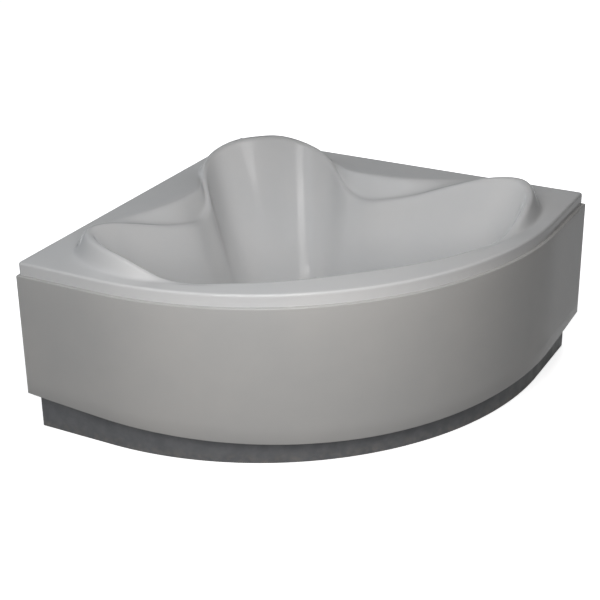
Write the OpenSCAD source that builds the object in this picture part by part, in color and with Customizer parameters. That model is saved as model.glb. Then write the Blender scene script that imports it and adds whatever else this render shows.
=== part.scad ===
// Corner bath with a moulded acrylic shell, a bowed front panel and a recessed plinth.
// The two walls meet behind the headrest. Every piece is drawn first in the frame of the
// diagonal: X runs from the wall corner to the middle of the front, Y runs to the right
// side corner, Z is up and Z = 0 is the floor. to_room() then turns it square to the walls.

/* [Rim] */
// Length of the rim along each wall
rim_side = 1388; // [1384:1:1430]
// Straight run between a side corner and the front arc
rim_return = 293; // [270:1:310]
// Height of the rim above the floor
rim_h = 600; // [596:1:640]
// Depth of the lip that turns down round the rim
lip_h = 41; // [32:1:46]
// Radius of the rim's outer edge
rim_edge_r = 8; // [7:0.5:12]
// Thickness of the acrylic with its glass fibre backing
shell_t = 6; // [5:0.5:6.5]

/* [Basin] */
// Shift of the basin, and so of the drain, away from both walls
basin_shift = 0; // [-2:1:4]
// Depth of the basin below the rim
basin_depth = 440; // [420:1:446]
// Rise of the headrest above the rim
headrest_rise = 84; // [70:1:100]
// Rise of the two side lobes above the rim
lobe_rise = 68; // [50:1:80]
// Drop of the two armrests below the rim
armrest_drop = 81; // [60:1:90]
// Radius of the rolled edge between rim and wall
roll_r = 26; // [20:1:30]
// Radius between the walls and the floor
floor_r = 80; // [65:1:95]

/* [Front panel] */
// Distance that the panel stands proud of the rim
panel_proud = 12; // [9:0.5:16]
// Thickness of the panel
panel_t = 4; // [3:0.5:5]
// Width of the panel's top flange below the rim lip
panel_flange = 21; // [19:0.5:24]
// Gap between the floor and the middle of the panel
panel_gap = 88; // [80:1:100]
// Rise of the panel's lower edge from its middle to the ends of the arc
panel_arch = 32; // [20:1:40]

/* [Plinth] */
// Setback of the plinth behind the rim edge
plinth_back = 32; // [28:1:34]
// Thickness of the plinth
plinth_t = 4; // [3:0.5:5]
// Overlap of the plinth behind the panel at the walls
plinth_overlap = 10; // [6:1:15]
// Gap between the plinth's ends and the walls
plinth_end_gap = 15; // [5:1:25]

/* [Timber] */
// Thickness of the board under the basin floor
board_t = 12; // [9:1:15]
// Thickness of the battens and corner blocks under the rim
batten_t = 18; // [15:1:22]
// Width of the battens
batten_w = 30; // [24:1:34]

/* [Frame] */
// Outer width of the square rails
rail_s = 30; // [25:1:34]
// Outer width of the square posts
post_s = 25; // [20:1:28]
// Wall of rails and posts
steel_t = 1.5; // [1.2:0.1:2.5]
// Distance of the main cross rail in front of the drain
main_ahead = 128; // [110:1:150]
// Distance of the rear cross rail behind the drain
rear_behind = 222; // [180:1:240]
// Distance of the long rails from the diagonal
long_aside = 250; // [220:1:265]
// Inset of the side posts from the rim's end face
side_post_in = 66; // [64:1:80]
// Inset of the front posts from the rim's front edge
front_post_in = 55; // [54:1:60]
// Distance of the back post from the wall corner, along the diagonal
back_post_p = 140; // [130:1:160]

/* [Feet] */
// Radius of the threaded rods
rod_r = 6; // [5:0.5:7]
// Radius of the foot pads
pad_r = 30; // [24:1:34]
// Thickness of the foot pads
pad_t = 8; // [6:1:10]
// Height of a nut
nut_h = 8; // [6:0.5:10]
// Radial clearance of a rod in its holes
rod_gap = 0.3; // [0.2:0.05:0.5]
// Distance from each post to its foot
foot_in = 75; // [65:1:90]

/* [Waste] */
// Radius of the hole in the basin floor
drain_hole_r = 27; // [26:0.5:29]
// Radius of the strainer flange
drain_flange_r = 36; // [34:1:40]
// Radius of the plug
plug_r = 30; // [26:0.5:32]
// Inner radius of the drain sleeve
sleeve_bore_r = 21; // [19:0.5:22]
// Outer radius of the waste pipe
pipe_r = 20; // [16:0.5:21]
// Wall of the plastic waste pieces
waste_t = 2.5; // [2:0.25:3]
// Distance of the waste pipe's centre below the basin floor
pipe_below = 112; // [108:1:114]
// Distance of the waste pipe's end from the wall
pipe_end = 25; // [15:1:40]

/* [Overflow] */
// Distance of the overflow below the rim
overflow_below = 95; // [88:1:110]
// Radius of the overflow hole
overflow_hole_r = 26; // [24:0.5:28]
// Radius of the overflow knob
knob_r = 31; // [28:0.5:34]
// Bore radius of the overflow hose
hose_bore_r = 12; // [10:0.5:13]
// Outer radius of the hose's ribs
hose_r = 16; // [15:0.5:17]
// Distance from rib to rib
rib_pitch = 9; // [8:0.5:12]
// Radius of the hose's bend
hose_bend = 60; // [50:1:70]
// Distance of the hose's lower run below the basin floor
hose_below = 70; // [67:1:74]

/* [Fixings] */
// Thickness of brackets and clips
plate_t = 2; // [1.5:0.5:3]
// Width of brackets and clips
plate_w = 40; // [30:1:50]
// Clearance between pieces that rest on each other without a screw
seat_gap = 0.3; // [0.2:0.05:0.5]
// Radius of the screw holes in the wall clips
clip_hole_r = 3; // [2.5:0.25:3.5]
// Distance of the wall clips from the wall corner
clip_at = [350, 1050];

/* [Hidden] */

// Places that follow from the sizes
room_half = (rim_side + panel_proud) / 2;
arc_r = rim_side - rim_return;
arc_p = rim_return * sqrt(2);
plan = rim_side / 1388;
basin_from_wall = 652 * plan + basin_shift;
basin_p = basin_from_wall * sqrt(2);
floor_z = rim_h - basin_depth;
lip_z = rim_h - lip_h;
board_z = floor_z - shell_t - board_t;
rail_z = board_z - rail_s;
batten_z = rim_h - shell_t - batten_t;
panel_z = lip_z - seat_gap;

// Stations round the basin, as angle from the wall corner, radius of the crest, height of the
// crest as a share of its rise or drop, width of the slope outside it and radius of the foot.
// They are written for a rim side of 1388, and the basin's plan grows and shrinks with the rim.
H = headrest_rise;
A = -armrest_drop;
S = lobe_rise;
DRAWN_STATIONS = [
    [0, 665, H, 76, 372],
    [8, 675, 0.9 * H, 66, 374],
    [16, 665, 0.56 * H, 44, 374],
    [24, 590, 0.2 * H, 30, 362],
    [32, 488, 0.6 * A, 30, 344],
    [42, 453, A, 42, 332],
    [54, 454, 0.83 * A, 58, 332],
    [66, 509, 0.5 * A, 76, 362],
    [76, 596, 0.05 * S, 110, 415],
    [84, 680, 0.66 * S, 84, 465],
    [92, 754, S, 48, 510],
    [100, 758, 0.96 * S, 44, 530],
    [110, 723, 0.72 * S, 34, 530],
    [122, 663, 0, 22, 520],
    [138, 581, 0, 20, 480],
    [158, 508, 0, 20, 430],
    [180, 478, 0, 20, 405]
];
STATIONS = [for (q = DRAWN_STATIONS) [q[0], q[1] * plan, q[2], q[3] * plan, q[4] * plan]];

// Smooth curve through column c of the stations, level at both ends
function rise(i, c) = (i <= 0 || i >= len(STATIONS) - 1) ? 0
    : (STATIONS[i + 1][c] - STATIONS[i - 1][c]) / (STATIONS[i + 1][0] - STATIONS[i - 1][0]);
function span(a) = min([for (i = [0 : len(STATIONS) - 2]) if (a <= STATIONS[i + 1][0] + 0.0001) i]);
function along(a, c) = let (
        i = span(a),
        p = STATIONS[i],
        q = STATIONS[i + 1],
        d = q[0] - p[0],
        t = (a - p[0]) / d
    ) p[c] * (1 + 2 * t) * (1 - t) * (1 - t) + rise(i, c) * d * t * (1 - t) * (1 - t)
        + q[c] * t * t * (3 - 2 * t) + rise(i + 1, c) * d * t * t * (t - 1);

// Rim edge seen from the basin centre: wall, straight return, then arc
corner_a = atan2(rim_side / sqrt(2), basin_p - rim_side / sqrt(2));
tangent_a = atan2((rim_side - rim_return) / sqrt(2), basin_p - (rim_side + rim_return) / sqrt(2));
function rim_r(a) = a <= corner_a ? basin_p / (cos(a) + sin(a))
    : a <= tangent_a ? (rim_side * sqrt(2) - basin_p) / (sin(a) - cos(a))
    : (basin_p - arc_p) * cos(a) + sqrt(pow(arc_r, 2) - pow((basin_p - arc_p) * sin(a), 2));

// Lean of the wall from upright, where it is tangent to the rolled edge and meets the foot
function lean(a) = let (
        dx = along(a, 1) - along(a, 4),
        dz = basin_depth + along(a, 2) - roll_r
    ) atan2(dx, dz) - asin(roll_r / norm([dx, dz]));
function floor_edge(a) = along(a, 4) + floor_r * tan(lean(a)) - floor_r / cos(lean(a));

// One section through the shell's upper face, from the lip's lower edge to the floor
EASE = [0.2, 0.4, 0.6, 0.8];
function section(a) = let (
        out = rim_r(a),
        top = along(a, 1),
        up = along(a, 2),
        base = min(top + along(a, 3), out - rim_edge_r - 2),
        b = lean(a),
        foot = floor_edge(a),
        wall_top = [top - roll_r * cos(b), rim_h + up - roll_r + roll_r * sin(b)],
        wall_foot = [foot + floor_r * cos(b), floor_z + floor_r - floor_r * sin(b)]
    ) concat(
        [[out, lip_z], [out, rim_h - rim_edge_r]],
        [for (v = [30, 60]) [out - rim_edge_r * (1 - cos(v)), rim_h - rim_edge_r * (1 - sin(v))]],
        [[out - rim_edge_r, rim_h], [base, rim_h]],
        [for (t = EASE) [base + (top - base) * t, rim_h + up * t * t * (3 - 2 * t)]],
        [[top, rim_h + up]],
        [for (v = [1 : 3]) let (g = v * (90 - b) / 4)
            [top - roll_r * sin(g), rim_h + up - roll_r * (1 - cos(g))]],
        [wall_top, wall_top + (wall_foot - wall_top) / 2, wall_foot],
        [for (v = [1 : 3]) let (g = b + v * (90 - b) / 4)
            [foot + floor_r * cos(g), floor_z + floor_r * (1 - sin(g))]],
        [[foot, floor_z], [60, floor_z], [34, floor_z]]
    );

// Columns round the basin, with one exactly on each corner of the rim
BACK_COLUMNS = 22;
FRONT_COLUMNS = 20;
HALF = concat(
    [for (i = [0 : BACK_COLUMNS]) corner_a * i / BACK_COLUMNS],
    [for (i = [1 : FRONT_COLUMNS]) corner_a + (180 - corner_a) * i / FRONT_COLUMNS]
);
COLUMNS = concat(HALF, [for (i = [len(HALF) - 2 : -1 : 1]) -HALF[i]]);
HALF_SECTIONS = [for (a = HALF) section(a)];
GRID = [for (i = [0 : len(COLUMNS) - 1]) let (
        a = COLUMNS[i],
        s = HALF_SECTIONS[i < len(HALF) ? i : len(COLUMNS) - i]
    ) [for (q = s) [basin_p - q[0] * cos(a), -q[0] * sin(a), q[1]]]];

// The lower face lies shell_t under the upper one, along its normal
function unit(v) = v / norm(v);
function face_normal(i, j) = let (
        n = len(GRID),
        m = len(GRID[0]),
        round_step = GRID[(i + 1) % n][j] - GRID[(i + n - 1) % n][j],
        in_step = GRID[i][min(j + 1, m - 1)] - GRID[i][max(j - 1, 0)]
    ) unit(cross(round_step, in_step));
UNDER = [for (i = [0 : len(GRID) - 1]) [for (j = [0 : len(GRID[0]) - 1])
    GRID[i][j] - shell_t * face_normal(i, j)]];

// Turns the diagonal's frame square to the walls, centred on the footprint
module to_room() {
    translate([-room_half, room_half, 0]) rotate([0, 0, -45]) children();
}

// Draws a piece on the right side and its mirror image on the left
module both() {
    children();
    mirror([0, 1, 0]) children();
}

// Puts a piece on one side only: 1 is right, -1 is left
module on_side(s) {
    if (s > 0) children();
    else mirror([0, 1, 0]) children();
}

// Frame at the front arc's centre, X pointing out at the given angle from the diagonal
module on_arc(a) {
    translate([arc_p, 0, 0]) rotate([0, 0, a]) children();
}

// Frame of the right wall side: X out from the right end face's arc centre, as on the return
module on_return() {
    on_arc(45) children();
}

// Frame of the right wall: X along the wall from the corner, Y into the bath
module on_wall() {
    rotate([0, 0, 45]) mirror([0, 1, 0]) children();
}

// A profile of radius and height swept round the front arc and along both returns
module round_front(run) {
    translate([arc_p, 0, 0]) {
        rotate_extrude(start = -45, angle = 90, $fn = 360) children();
        both() rotate([0, 0, 45]) mirror([0, 1, 0]) rotate([90, 0, 0]) linear_extrude(run) children();
    }
}

module square_tube(l, s) {
    difference() {
        translate([0, -s / 2, -s / 2]) cube([l, s, s]);
        translate([-1, -s / 2 + steel_t, -s / 2 + steel_t]) cube([l + 2, s - 2 * steel_t, s - 2 * steel_t]);
    }
}

module post(h) {
    rotate([0, -90, 0]) square_tube(h, post_s);
}

// Shell

module shell_body() {
    n = len(GRID);
    m = len(GRID[0]);
    points = concat(
        [for (c = GRID) each c],
        [for (c = UNDER) each c],
        [[basin_p, 0, floor_z], [basin_p, 0, floor_z - shell_t]]
    );
    function top(i, j) = (i % n) * m + j;
    function low(i, j) = n * m + (i % n) * m + j;
    polyhedron(points, concat(
        [for (i = [0 : n - 1], j = [0 : m - 2]) each [
            [top(i, j), top(i, j + 1), top(i + 1, j + 1)],
            [top(i, j), top(i + 1, j + 1), top(i + 1, j)],
            [low(i, j), low(i + 1, j + 1), low(i, j + 1)],
            [low(i, j), low(i + 1, j), low(i + 1, j + 1)]
        ]],
        [for (i = [0 : n - 1]) each [
            [top(i, 0), top(i + 1, 0), low(i + 1, 0)],
            [top(i, 0), low(i + 1, 0), low(i, 0)],
            [top(i, m - 1), 2 * n * m, top(i + 1, m - 1)],
            [low(i, m - 1), low(i + 1, m - 1), 2 * n * m + 1]
        ]]
    ));
}

module tub_shell() {
    color("gainsboro") to_room() difference() {
        shell_body();
        translate([basin_p, 0, floor_z - 30]) cylinder(h = 60, r = drain_hole_r, $fn = 64);
        at_overflow() translate([0, 0, -30]) cylinder(h = 60, r = overflow_hole_r, $fn = 64);
    }
}

// Timber under the shell

module base_board() {
    color("burlywood") to_room() difference() {
        translate([basin_p, 0, board_z]) linear_extrude(board_t)
            polygon([for (a = COLUMNS) (floor_edge(abs(a)) - 4) * [-cos(a), -sin(a)]]);
        translate([basin_p, 0, board_z - 1]) cylinder(h = board_t + 2, r = seal_r + 4, $fn = 64);
    }
}

batten_y = shell_t + 2 * seat_gap + plate_t;
block_l = 190;

module wall_batten(s) {
    color("burlywood") to_room() on_side(s) on_wall()
        translate([block_l + 5, batten_y, batten_z]) cube([rim_side - 2 * block_l + 42, batten_w, batten_t]);
}

module corner_block_back() {
    e = batten_y;
    color("burlywood") to_room() rotate([0, 0, -45]) translate([0, 0, batten_z]) linear_extrude(batten_t)
        polygon([[e, e], [block_l, e], [block_l, 60], [60, block_l], [e, block_l]]);
}

module corner_block(s) {
    x = rim_side - shell_t - 2;
    color("burlywood") to_room() on_side(s) on_wall() translate([0, 0, batten_z]) difference() {
        linear_extrude(batten_t)
            polygon([[x - 138, 45], [x - 6, 45], [x, 51], [x, 210], [x - 72, 210], [x - 138, 120]]);
        for (y = [-1, 1]) translate([arc_p / sqrt(2) + hanger_in + 8, hanger_y + y * 10, -1])
            cylinder(h = 13, r = 2, $fn = 24);
    }
}

batten_out = arc_r - shell_t - 4;
hanger_in = batten_out - 31;
hanger_y = 140;

module front_batten() {
    color("burlywood") to_room() difference() {
        translate([arc_p, 0, batten_z]) {
            rotate_extrude(start = -32, angle = 64, $fn = 360)
                translate([batten_out - batten_w - 3, 0]) square([batten_w + 3, batten_t]);
            rotate_extrude(start = -17, angle = 34, $fn = 360)
                translate([batten_out - batten_w - 33, 0]) square([batten_w + 33, batten_t]);
        }
        both() on_arc(hanger_a) for (y = [-1, 1]) translate([hanger_in + 8, y * 10, batten_z - 1])
            cylinder(h = 13, r = 2, $fn = 24);
    }
}

// Frame of square steel tube

main_p = basin_p + main_ahead;
rear_p = basin_p - rear_behind;
side_post_x = rim_side - side_post_in;
side_post_y = main_p * sqrt(2) - side_post_x;
side_post_w = (side_post_x - side_post_y) / sqrt(2);
front_post_r = arc_r - front_post_in;
front_post_a = asin(long_aside / front_post_r);
front_post_p = arc_p + front_post_r * cos(front_post_a);
rail_top = rail_z + rail_s;
rail_mid = rail_z + rail_s / 2;
rail_over = 15;

// Foot places as distance along the diagonal and to the side
FOOT_BACK = [back_post_p + foot_in, 0];
FOOT_SIDE = [main_p, side_post_w - foot_in];
FOOT_FRONT = [front_post_p - foot_in, long_aside];

module rod_hole(at) {
    translate([at[0], at[1], rail_z - 1]) cylinder(h = rail_s + 2, r = rod_r + rod_gap, $fn = 48);
}

module main_rail() {
    l = side_post_w + rail_over;
    color("dimgray") to_room() difference() {
        translate([main_p, -l, rail_mid]) rotate([0, 0, 90]) square_tube(2 * l, rail_s);
        both() rod_hole(FOOT_SIDE);
    }
}

module rear_rail() {
    l = long_aside + rail_s / 2;
    color("dimgray") to_room() translate([rear_p, -l, rail_mid]) rotate([0, 0, 90]) square_tube(2 * l, rail_s);
}

module spine_rail() {
    x = back_post_p - rail_over;
    color("dimgray") to_room() difference() {
        translate([x, 0, rail_mid]) square_tube(rear_p - rail_s / 2 - x, rail_s);
        rod_hole(FOOT_BACK);
    }
}

module long_rail(s) {
    x = rear_p + rail_s / 2;
    color("dimgray") to_room() on_side(s) translate([x, long_aside, rail_mid])
        square_tube(main_p - rail_s / 2 - x, rail_s);
}

module front_rail(s) {
    x = main_p + rail_s / 2;
    color("dimgray") to_room() on_side(s) difference() {
        translate([x, long_aside, rail_mid]) square_tube(front_post_p + rail_over - 2 - x, rail_s);
        rod_hole(FOOT_FRONT);
    }
}

module post_back() {
    color("dimgray") to_room() translate([back_post_p, 0, rail_top]) post(batten_z - rail_top);
}

module post_side(s) {
    color("dimgray") to_room() on_side(s) translate([main_p, side_post_w, rail_top]) rotate([0, 0, 45])
        post(batten_z - rail_top);
}

module post_front(s) {
    color("dimgray") to_room() on_side(s) on_arc(front_post_a) translate([front_post_r, 0, rail_top])
        post(batten_z - rail_top);
}

// Plastic caps that close the open ends of the rails
cap_t = 2;
module cap() {
    i = rail_s - 2 * steel_t - 2 * seat_gap;
    translate([0, -rail_s / 2, -rail_s / 2]) cube([cap_t, rail_s, rail_s]);
    translate([-10, -i / 2, -i / 2]) cube([10, i, i]);
}

module rail_caps() {
    color("black") to_room() translate([0, 0, rail_mid]) {
        both() translate([main_p, side_post_w + rail_over, 0]) rotate([0, 0, 90]) cap();
        both() translate([front_post_p + rail_over - 2, long_aside, 0]) cap();
        translate([back_post_p - rail_over, 0, 0]) rotate([0, 0, 180]) cap();
    }
}

// Levelling feet

nut_r = 1.75 * rod_r;
rod_foot = pad_t + 2;
rod_top = rail_top + nut_h + 10;
neck_h = pad_t + 14;

module foot_nut() {
    difference() {
        cylinder(h = nut_h, r = nut_r, $fn = 6);
        translate([0, 0, -1]) cylinder(h = nut_h + 2, r = rod_r + rod_gap, $fn = 48);
    }
}

module nut_pair(at) {
    translate([at[0], at[1], rail_z - nut_h]) foot_nut();
    translate([at[0], at[1], rail_top]) foot_nut();
}

module foot_nuts() {
    color("silver") to_room() {
        nut_pair(FOOT_BACK);
        both() nut_pair(FOOT_SIDE);
        both() nut_pair(FOOT_FRONT);
    }
}

module foot_rod(s, at) {
    color("silver") to_room() on_side(s) translate([at[0], at[1], rod_foot]) {
        cylinder(h = rod_top - rod_foot - 1, r = rod_r, $fn = 48);
        translate([0, 0, rod_top - rod_foot - 1]) cylinder(h = 1, r1 = rod_r, r2 = rod_r - 1, $fn = 48);
    }
}

module foot_pad(s, at) {
    color("black") to_room() on_side(s) translate([at[0], at[1], 0]) rotate_extrude($fn = 72)
        polygon([
            [0, 0], [pad_r - 2, 0], [pad_r, 2], [pad_r, pad_t - 2], [pad_r - 4, pad_t],
            [rod_r + 8, pad_t + 2], [rod_r + 6, neck_h], [rod_r + 0.1, neck_h], [rod_r + 0.1, rod_foot], [0, rod_foot]
        ]);
}

// Front panel and plinth

panel_r = arc_r + panel_proud;
panel_half = panel_r * sin(45);
arch_r = panel_half * panel_half / (2 * panel_arch) + panel_arch / 2;
wall_half = (rim_side + panel_proud) / sqrt(2);
arch_at_wall = arch_r - sqrt(arch_r * arch_r - wall_half * wall_half);
plinth_over_rails = 7;
plinth_h = max(panel_gap + arch_at_wall + plinth_overlap, rail_top + plinth_over_rails);
plinth_r = arc_r - plinth_back;

module panel_profile() {
    r = panel_t;
    polygon(concat(
        [[panel_r - panel_t, 0], [panel_r, 0]],
        [for (a = [0 : 15 : 90]) [panel_r - r + r * cos(a), panel_z - r + r * sin(a)]],
        [[panel_r - panel_flange, panel_z], [panel_r - panel_flange, panel_z - panel_t],
         [panel_r - panel_t, panel_z - panel_t]]
    ));
}

module front_panel() {
    reach = wall_half + 15;
    color("gainsboro") to_room() intersection() {
        round_front(rim_return) panel_profile();
        rotate([90, 0, 90]) linear_extrude(2 * rim_side) polygon(concat(
            [for (i = [0 : 32]) let (y = reach * (i / 16 - 1)) [y, panel_gap + arch_r - sqrt(arch_r * arch_r - y * y)]],
            [[reach, rim_h], [-reach, rim_h]]
        ));
    }
}

module plinth() {
    color("slategray") to_room() round_front(rim_return - plinth_end_gap)
        translate([plinth_r - plinth_t, 0]) square([plinth_t, plinth_h]);
}

// Brackets, catches and clips

// Hanger: screwed under the timber, steps down behind the lip, carries the panel's flange
hanger_z = panel_z - panel_t - seat_gap - plate_t;
hanger_a = 24;
hanger_low = panel_r - panel_t - hanger_in - 2;

module hanger() {
    translate([hanger_in, -plate_w / 2, 0]) difference() {
        union() {
            translate([0, 0, batten_z - plate_t]) cube([29, plate_w, plate_t]);
            translate([29 - plate_t, 0, hanger_z]) cube([plate_t, plate_w, batten_z - hanger_z]);
            translate([29 - plate_t, 0, hanger_z]) cube([hanger_low - 29 + plate_t, plate_w, plate_t]);
        }
        for (y = [-1, 1]) translate([8, plate_w / 2 + y * 10, batten_z - plate_t - 1])
            cylinder(h = plate_t + 2, r = 2.2, $fn = 32);
    }
}

// Runs its children at the four hanger places
module at_hangers() {
    both() on_arc(hanger_a) children();
    both() on_return() translate([0, rim_return - hanger_y, 0]) children();
}

module panel_hangers() {
    color("silver") to_room() at_hangers() hanger();
}

module hanger_screws() {
    color("silver") to_room() at_hangers() for (y = [-1, 1]) translate([hanger_in + 8, y * 10, batten_z - plate_t]) {
        translate([0, 0, -2.5]) cylinder(h = 2.5, r1 = 2.5, r2 = 4.2, $fn = 32);
        cylinder(h = 13, r = 1.9, $fn = 32);
    }
}

// Catch: an angle on a post that holds a magnet against the inside of the panel
catch_z = plinth_h + 14;
magnet_r = 10;
magnet_t = 5;

module catch(from) {
    reach = panel_r - panel_t - seat_gap - magnet_t - plate_t;
    translate([0, -plate_w / 2, catch_z]) {
        translate([from, 0, 0]) cube([reach - from + plate_t, plate_w, plate_t]);
        translate([from, 0, 0]) cube([plate_t, plate_w, 34]);
        translate([reach, 0, 0]) cube([plate_t, plate_w, 28]);
    }
}

module catch_magnet() {
    translate([panel_r - panel_t - seat_gap - magnet_t, 0, catch_z + 16]) rotate([0, 90, 0])
        cylinder(h = magnet_t, r = magnet_r, $fn = 48);
}

module at_side_post() {
    on_return() translate([0, rim_return - side_post_y, 0]) children();
}

module panel_catches() {
    color("silver") to_room() {
        both() on_arc(front_post_a) catch(front_post_r + post_s / 2);
        both() at_side_post() catch(side_post_x - rim_return + post_s / 2);
    }
}

module panel_magnets() {
    color("dimgray") to_room() {
        both() on_arc(front_post_a) catch_magnet();
        both() at_side_post() catch_magnet();
    }
}

// Bracket under a rail that steadies the plinth from behind
module plinth_bracket(from) {
    x = plinth_r - plinth_t - seat_gap;
    translate([0, -15, 0]) {
        translate([from, 0, rail_z - plate_t]) cube([x - from, 30, plate_t]);
        translate([x - plate_t, 0, rail_z - plate_t - 45]) cube([plate_t, 30, 45]);
    }
}

module plinth_brackets() {
    color("silver") to_room() {
        both() on_arc(front_post_a) plinth_bracket(front_post_r - 25);
        both() at_side_post() plinth_bracket(side_post_x - rim_return - 12);
    }
}

// Wall clip: screwed to the wall, hooks up inside the lip and carries it
clip_drop = 58;
module wall_clip() {
    in = shell_t + seat_gap;
    under = lip_z - seat_gap - plate_t;
    difference() {
        union() {
            translate([-plate_w / 2, 0, under - clip_drop]) cube([plate_w, plate_t, clip_drop + plate_t]);
            translate([-plate_w / 2, 0, under]) cube([plate_w, in + plate_t, plate_t]);
            translate([-plate_w / 2, in, under]) cube([plate_w, plate_t, lip_h - shell_t - 3]);
        }
        translate([0, -1, under - clip_drop + 20]) rotate([-90, 0, 0])
            cylinder(h = plate_t + 2, r = clip_hole_r, $fn = 32);
    }
}

module wall_clips() {
    color("silver") to_room() both() on_wall() for (x = clip_at) translate([x, 0, 0]) wall_clip();
}

// Waste, in the frame of the drain's centre with Z = 0 at the basin floor

module at_drain() {
    translate([basin_p, 0, floor_z]) children();
}

sleeve_r = drain_hole_r - 2;
seal_r = drain_hole_r + 11;
seal_t = 3;
body_r = sleeve_r + 7;
body_low = 86;
inlet_l = 34;

module drain_flange() {
    f = drain_flange_r;
    color("silver") to_room() at_drain() difference() {
        rotate_extrude($fn = 96) polygon([
            [sleeve_bore_r, -40], [sleeve_r, -40], [sleeve_r, 0], [f, 0], [f, 0.8],
            [f - 1.2, 2], [f - 3, 2.5], [plug_r + 2.5, 2.5], [plug_r + 1, 1.5], [sleeve_bore_r + 2, 1.5], [sleeve_bore_r, -0.5]
        ]);
    }
    color("silver") to_room() at_drain() difference() {
        union() {
            for (a = [0, 60, 120]) rotate([0, 0, a]) translate([-sleeve_bore_r - 1, -1.5, -26])
                cube([2 * sleeve_bore_r + 2, 3, 4]);
            translate([0, 0, -30]) cylinder(h = 9, r = 8, $fn = 48);
        }
        translate([0, 0, -31]) cylinder(h = 12, r = stem_r + 0.3, $fn = 48);
    }
}

stem_r = 4;
plug_z = 1.5 + seat_gap;

module drain_plug() {
    p = plug_r;
    color("silver") to_room() at_drain() rotate_extrude($fn = 96) polygon([
        [0, -52], [stem_r - 1, -52], [stem_r, -51], [stem_r, -8], [stem_r + 6, plug_z - 0.2], [sleeve_bore_r - 3, plug_z - 0.2],
        [sleeve_bore_r - 3, plug_z], [p, plug_z], [p, plug_z + 1.5], [p - 2, plug_z + 3], [p * 0.6, plug_z + 5], [0, plug_z + 6]
    ]);
}

module drain_seal() {
    color("black") to_room() at_drain() translate([0, 0, -shell_t - seal_t]) difference() {
        cylinder(h = seal_t, r = seal_r, $fn = 72);
        translate([0, 0, -1]) cylinder(h = seal_t + 2, r = sleeve_r + 0.3, $fn = 72);
    }
}

module drain_body() {
    t = waste_t;
    top = -shell_t - seal_t;
    color("whitesmoke") to_room() at_drain() difference() {
        union() {
            rotate_extrude($fn = 72) polygon([
                [0, -body_low], [body_r, -body_low], [body_r, top - 4], [seal_r, top - 3], [seal_r, top], [0, top]
            ]);
            translate([0, 0, -hose_below]) rotate([0, 90, 0]) cylinder(h = body_r + inlet_l, r = hose_bore_r + 1, $fn = 48);
        }
        translate([0, 0, -body_low - 1]) cylinder(h = body_low + top - 11, r = body_r - t, $fn = 72);
        translate([0, 0, top - 13]) cylinder(h = 14, r = sleeve_r + 0.3, $fn = 72);
        translate([0, 0, -hose_below]) rotate([0, 90, 0]) cylinder(h = body_r + inlet_l + 1, r = hose_bore_r - 1.5, $fn = 48);
    }
}

bowl_r = 50;
bowl_low = 146;
bowl_top = body_low;

// The bowl's solid of revolution, drawn in by e for its inside
module bowl_form(e) {
    rotate_extrude($fn = 72) polygon([
        [0, e - bowl_low], [bowl_r - 12 - 0.4 * e, e - bowl_low], [bowl_r - e, 12 + 0.4 * e - bowl_low],
        [bowl_r - e, -bowl_top - 3 - 0.4 * e], [bowl_r - 3 - 0.4 * e, -bowl_top - e], [0, -bowl_top - e]
    ]);
}

module trap_bowl() {
    t = waste_t;
    color("whitesmoke") to_room() at_drain() difference() {
        union() {
            bowl_form(0);
            translate([0, 0, -pipe_below]) out_of_wall() cylinder(h = bowl_r + 24, r = pipe_r + 0.3 + t, $fn = 72);
        }
        bowl_form(t);
        translate([0, 0, -bowl_top - 10]) cylinder(h = 12, r = sleeve_r - 1, $fn = 72);
        translate([0, 0, -pipe_below]) out_of_wall() cylinder(h = bowl_r + 25, r = pipe_r + 0.3, $fn = 72);
    }
}

// Points Z square at the left wall
module out_of_wall() {
    rotate([0, 0, -135]) rotate([0, 90, 0]) children();
}

pipe_from = bowl_r + 4;
pipe_free = bowl_r + 36;

module waste_pipe() {
    color("whitesmoke") to_room() at_drain() translate([0, 0, -pipe_below]) out_of_wall() difference() {
        union() {
            translate([0, 0, pipe_from]) cylinder(h = pipe_free - pipe_from + 1, r = pipe_r - 0.3, $fn = 72);
            translate([0, 0, pipe_free]) cylinder(h = basin_from_wall - pipe_end - pipe_free, r = pipe_r, $fn = 72);
        }
        translate([0, 0, pipe_from - 1]) cylinder(h = basin_from_wall, r = pipe_r - waste_t + 0.5, $fn = 72);
    }
}

module trap_nut() {
    r = pipe_r + waste_t + 5;
    color("whitesmoke") to_room() at_drain() translate([0, 0, -pipe_below]) out_of_wall() difference() {
        union() {
            translate([0, 0, bowl_r + 10]) cylinder(h = 24, r = r - 1, $fn = 72);
            for (a = [0 : 30 : 359]) rotate([0, 0, a]) translate([r - 2.5, -1.5, bowl_r + 12]) cube([2.5, 3, 20]);
        }
        translate([0, 0, bowl_r + 9]) cylinder(h = 15 + 0.3, r = pipe_r + waste_t + 0.6, $fn = 72);
        translate([0, 0, bowl_r + 9]) cylinder(h = 30, r = pipe_r + 0.3, $fn = 72);
    }
}

// Overflow on the front wall, in the frame of its centre with Z pointing into the basin

front_lean = lean(180);
overflow_z = rim_h - overflow_below;
overflow_p = basin_p + along(180, 4) + (overflow_z - floor_z) * tan(front_lean);

module at_overflow() {
    translate([overflow_p, 0, overflow_z]) rotate([0, front_lean - 90, 0]) children();
}

plate_gap = 0.8;
neck_r = overflow_hole_r - 1;
overflow_seal_t = 3;
cup_r = overflow_hole_r + 11;
cup_back = -shell_t - 1 - overflow_seal_t;
cup_depth = 32;
hose_p = overflow_p + 26;
spigot_z = overflow_z - cup_r - 20;
cable_r = 2.5;
cable_p = hose_p + 4;
cable_y = 24;
cable_top = overflow_z - cup_r - 4;

module overflow_plate() {
    color("silver") to_room() at_overflow() translate([0, 0, plate_gap]) rotate_extrude($fn = 96) polygon([
        [neck_r - 7, 0], [cup_r, 0], [cup_r, 1], [cup_r - 2, 2.6], [neck_r - 3, 3], [neck_r - 7, 3]
    ]);
}

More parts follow.
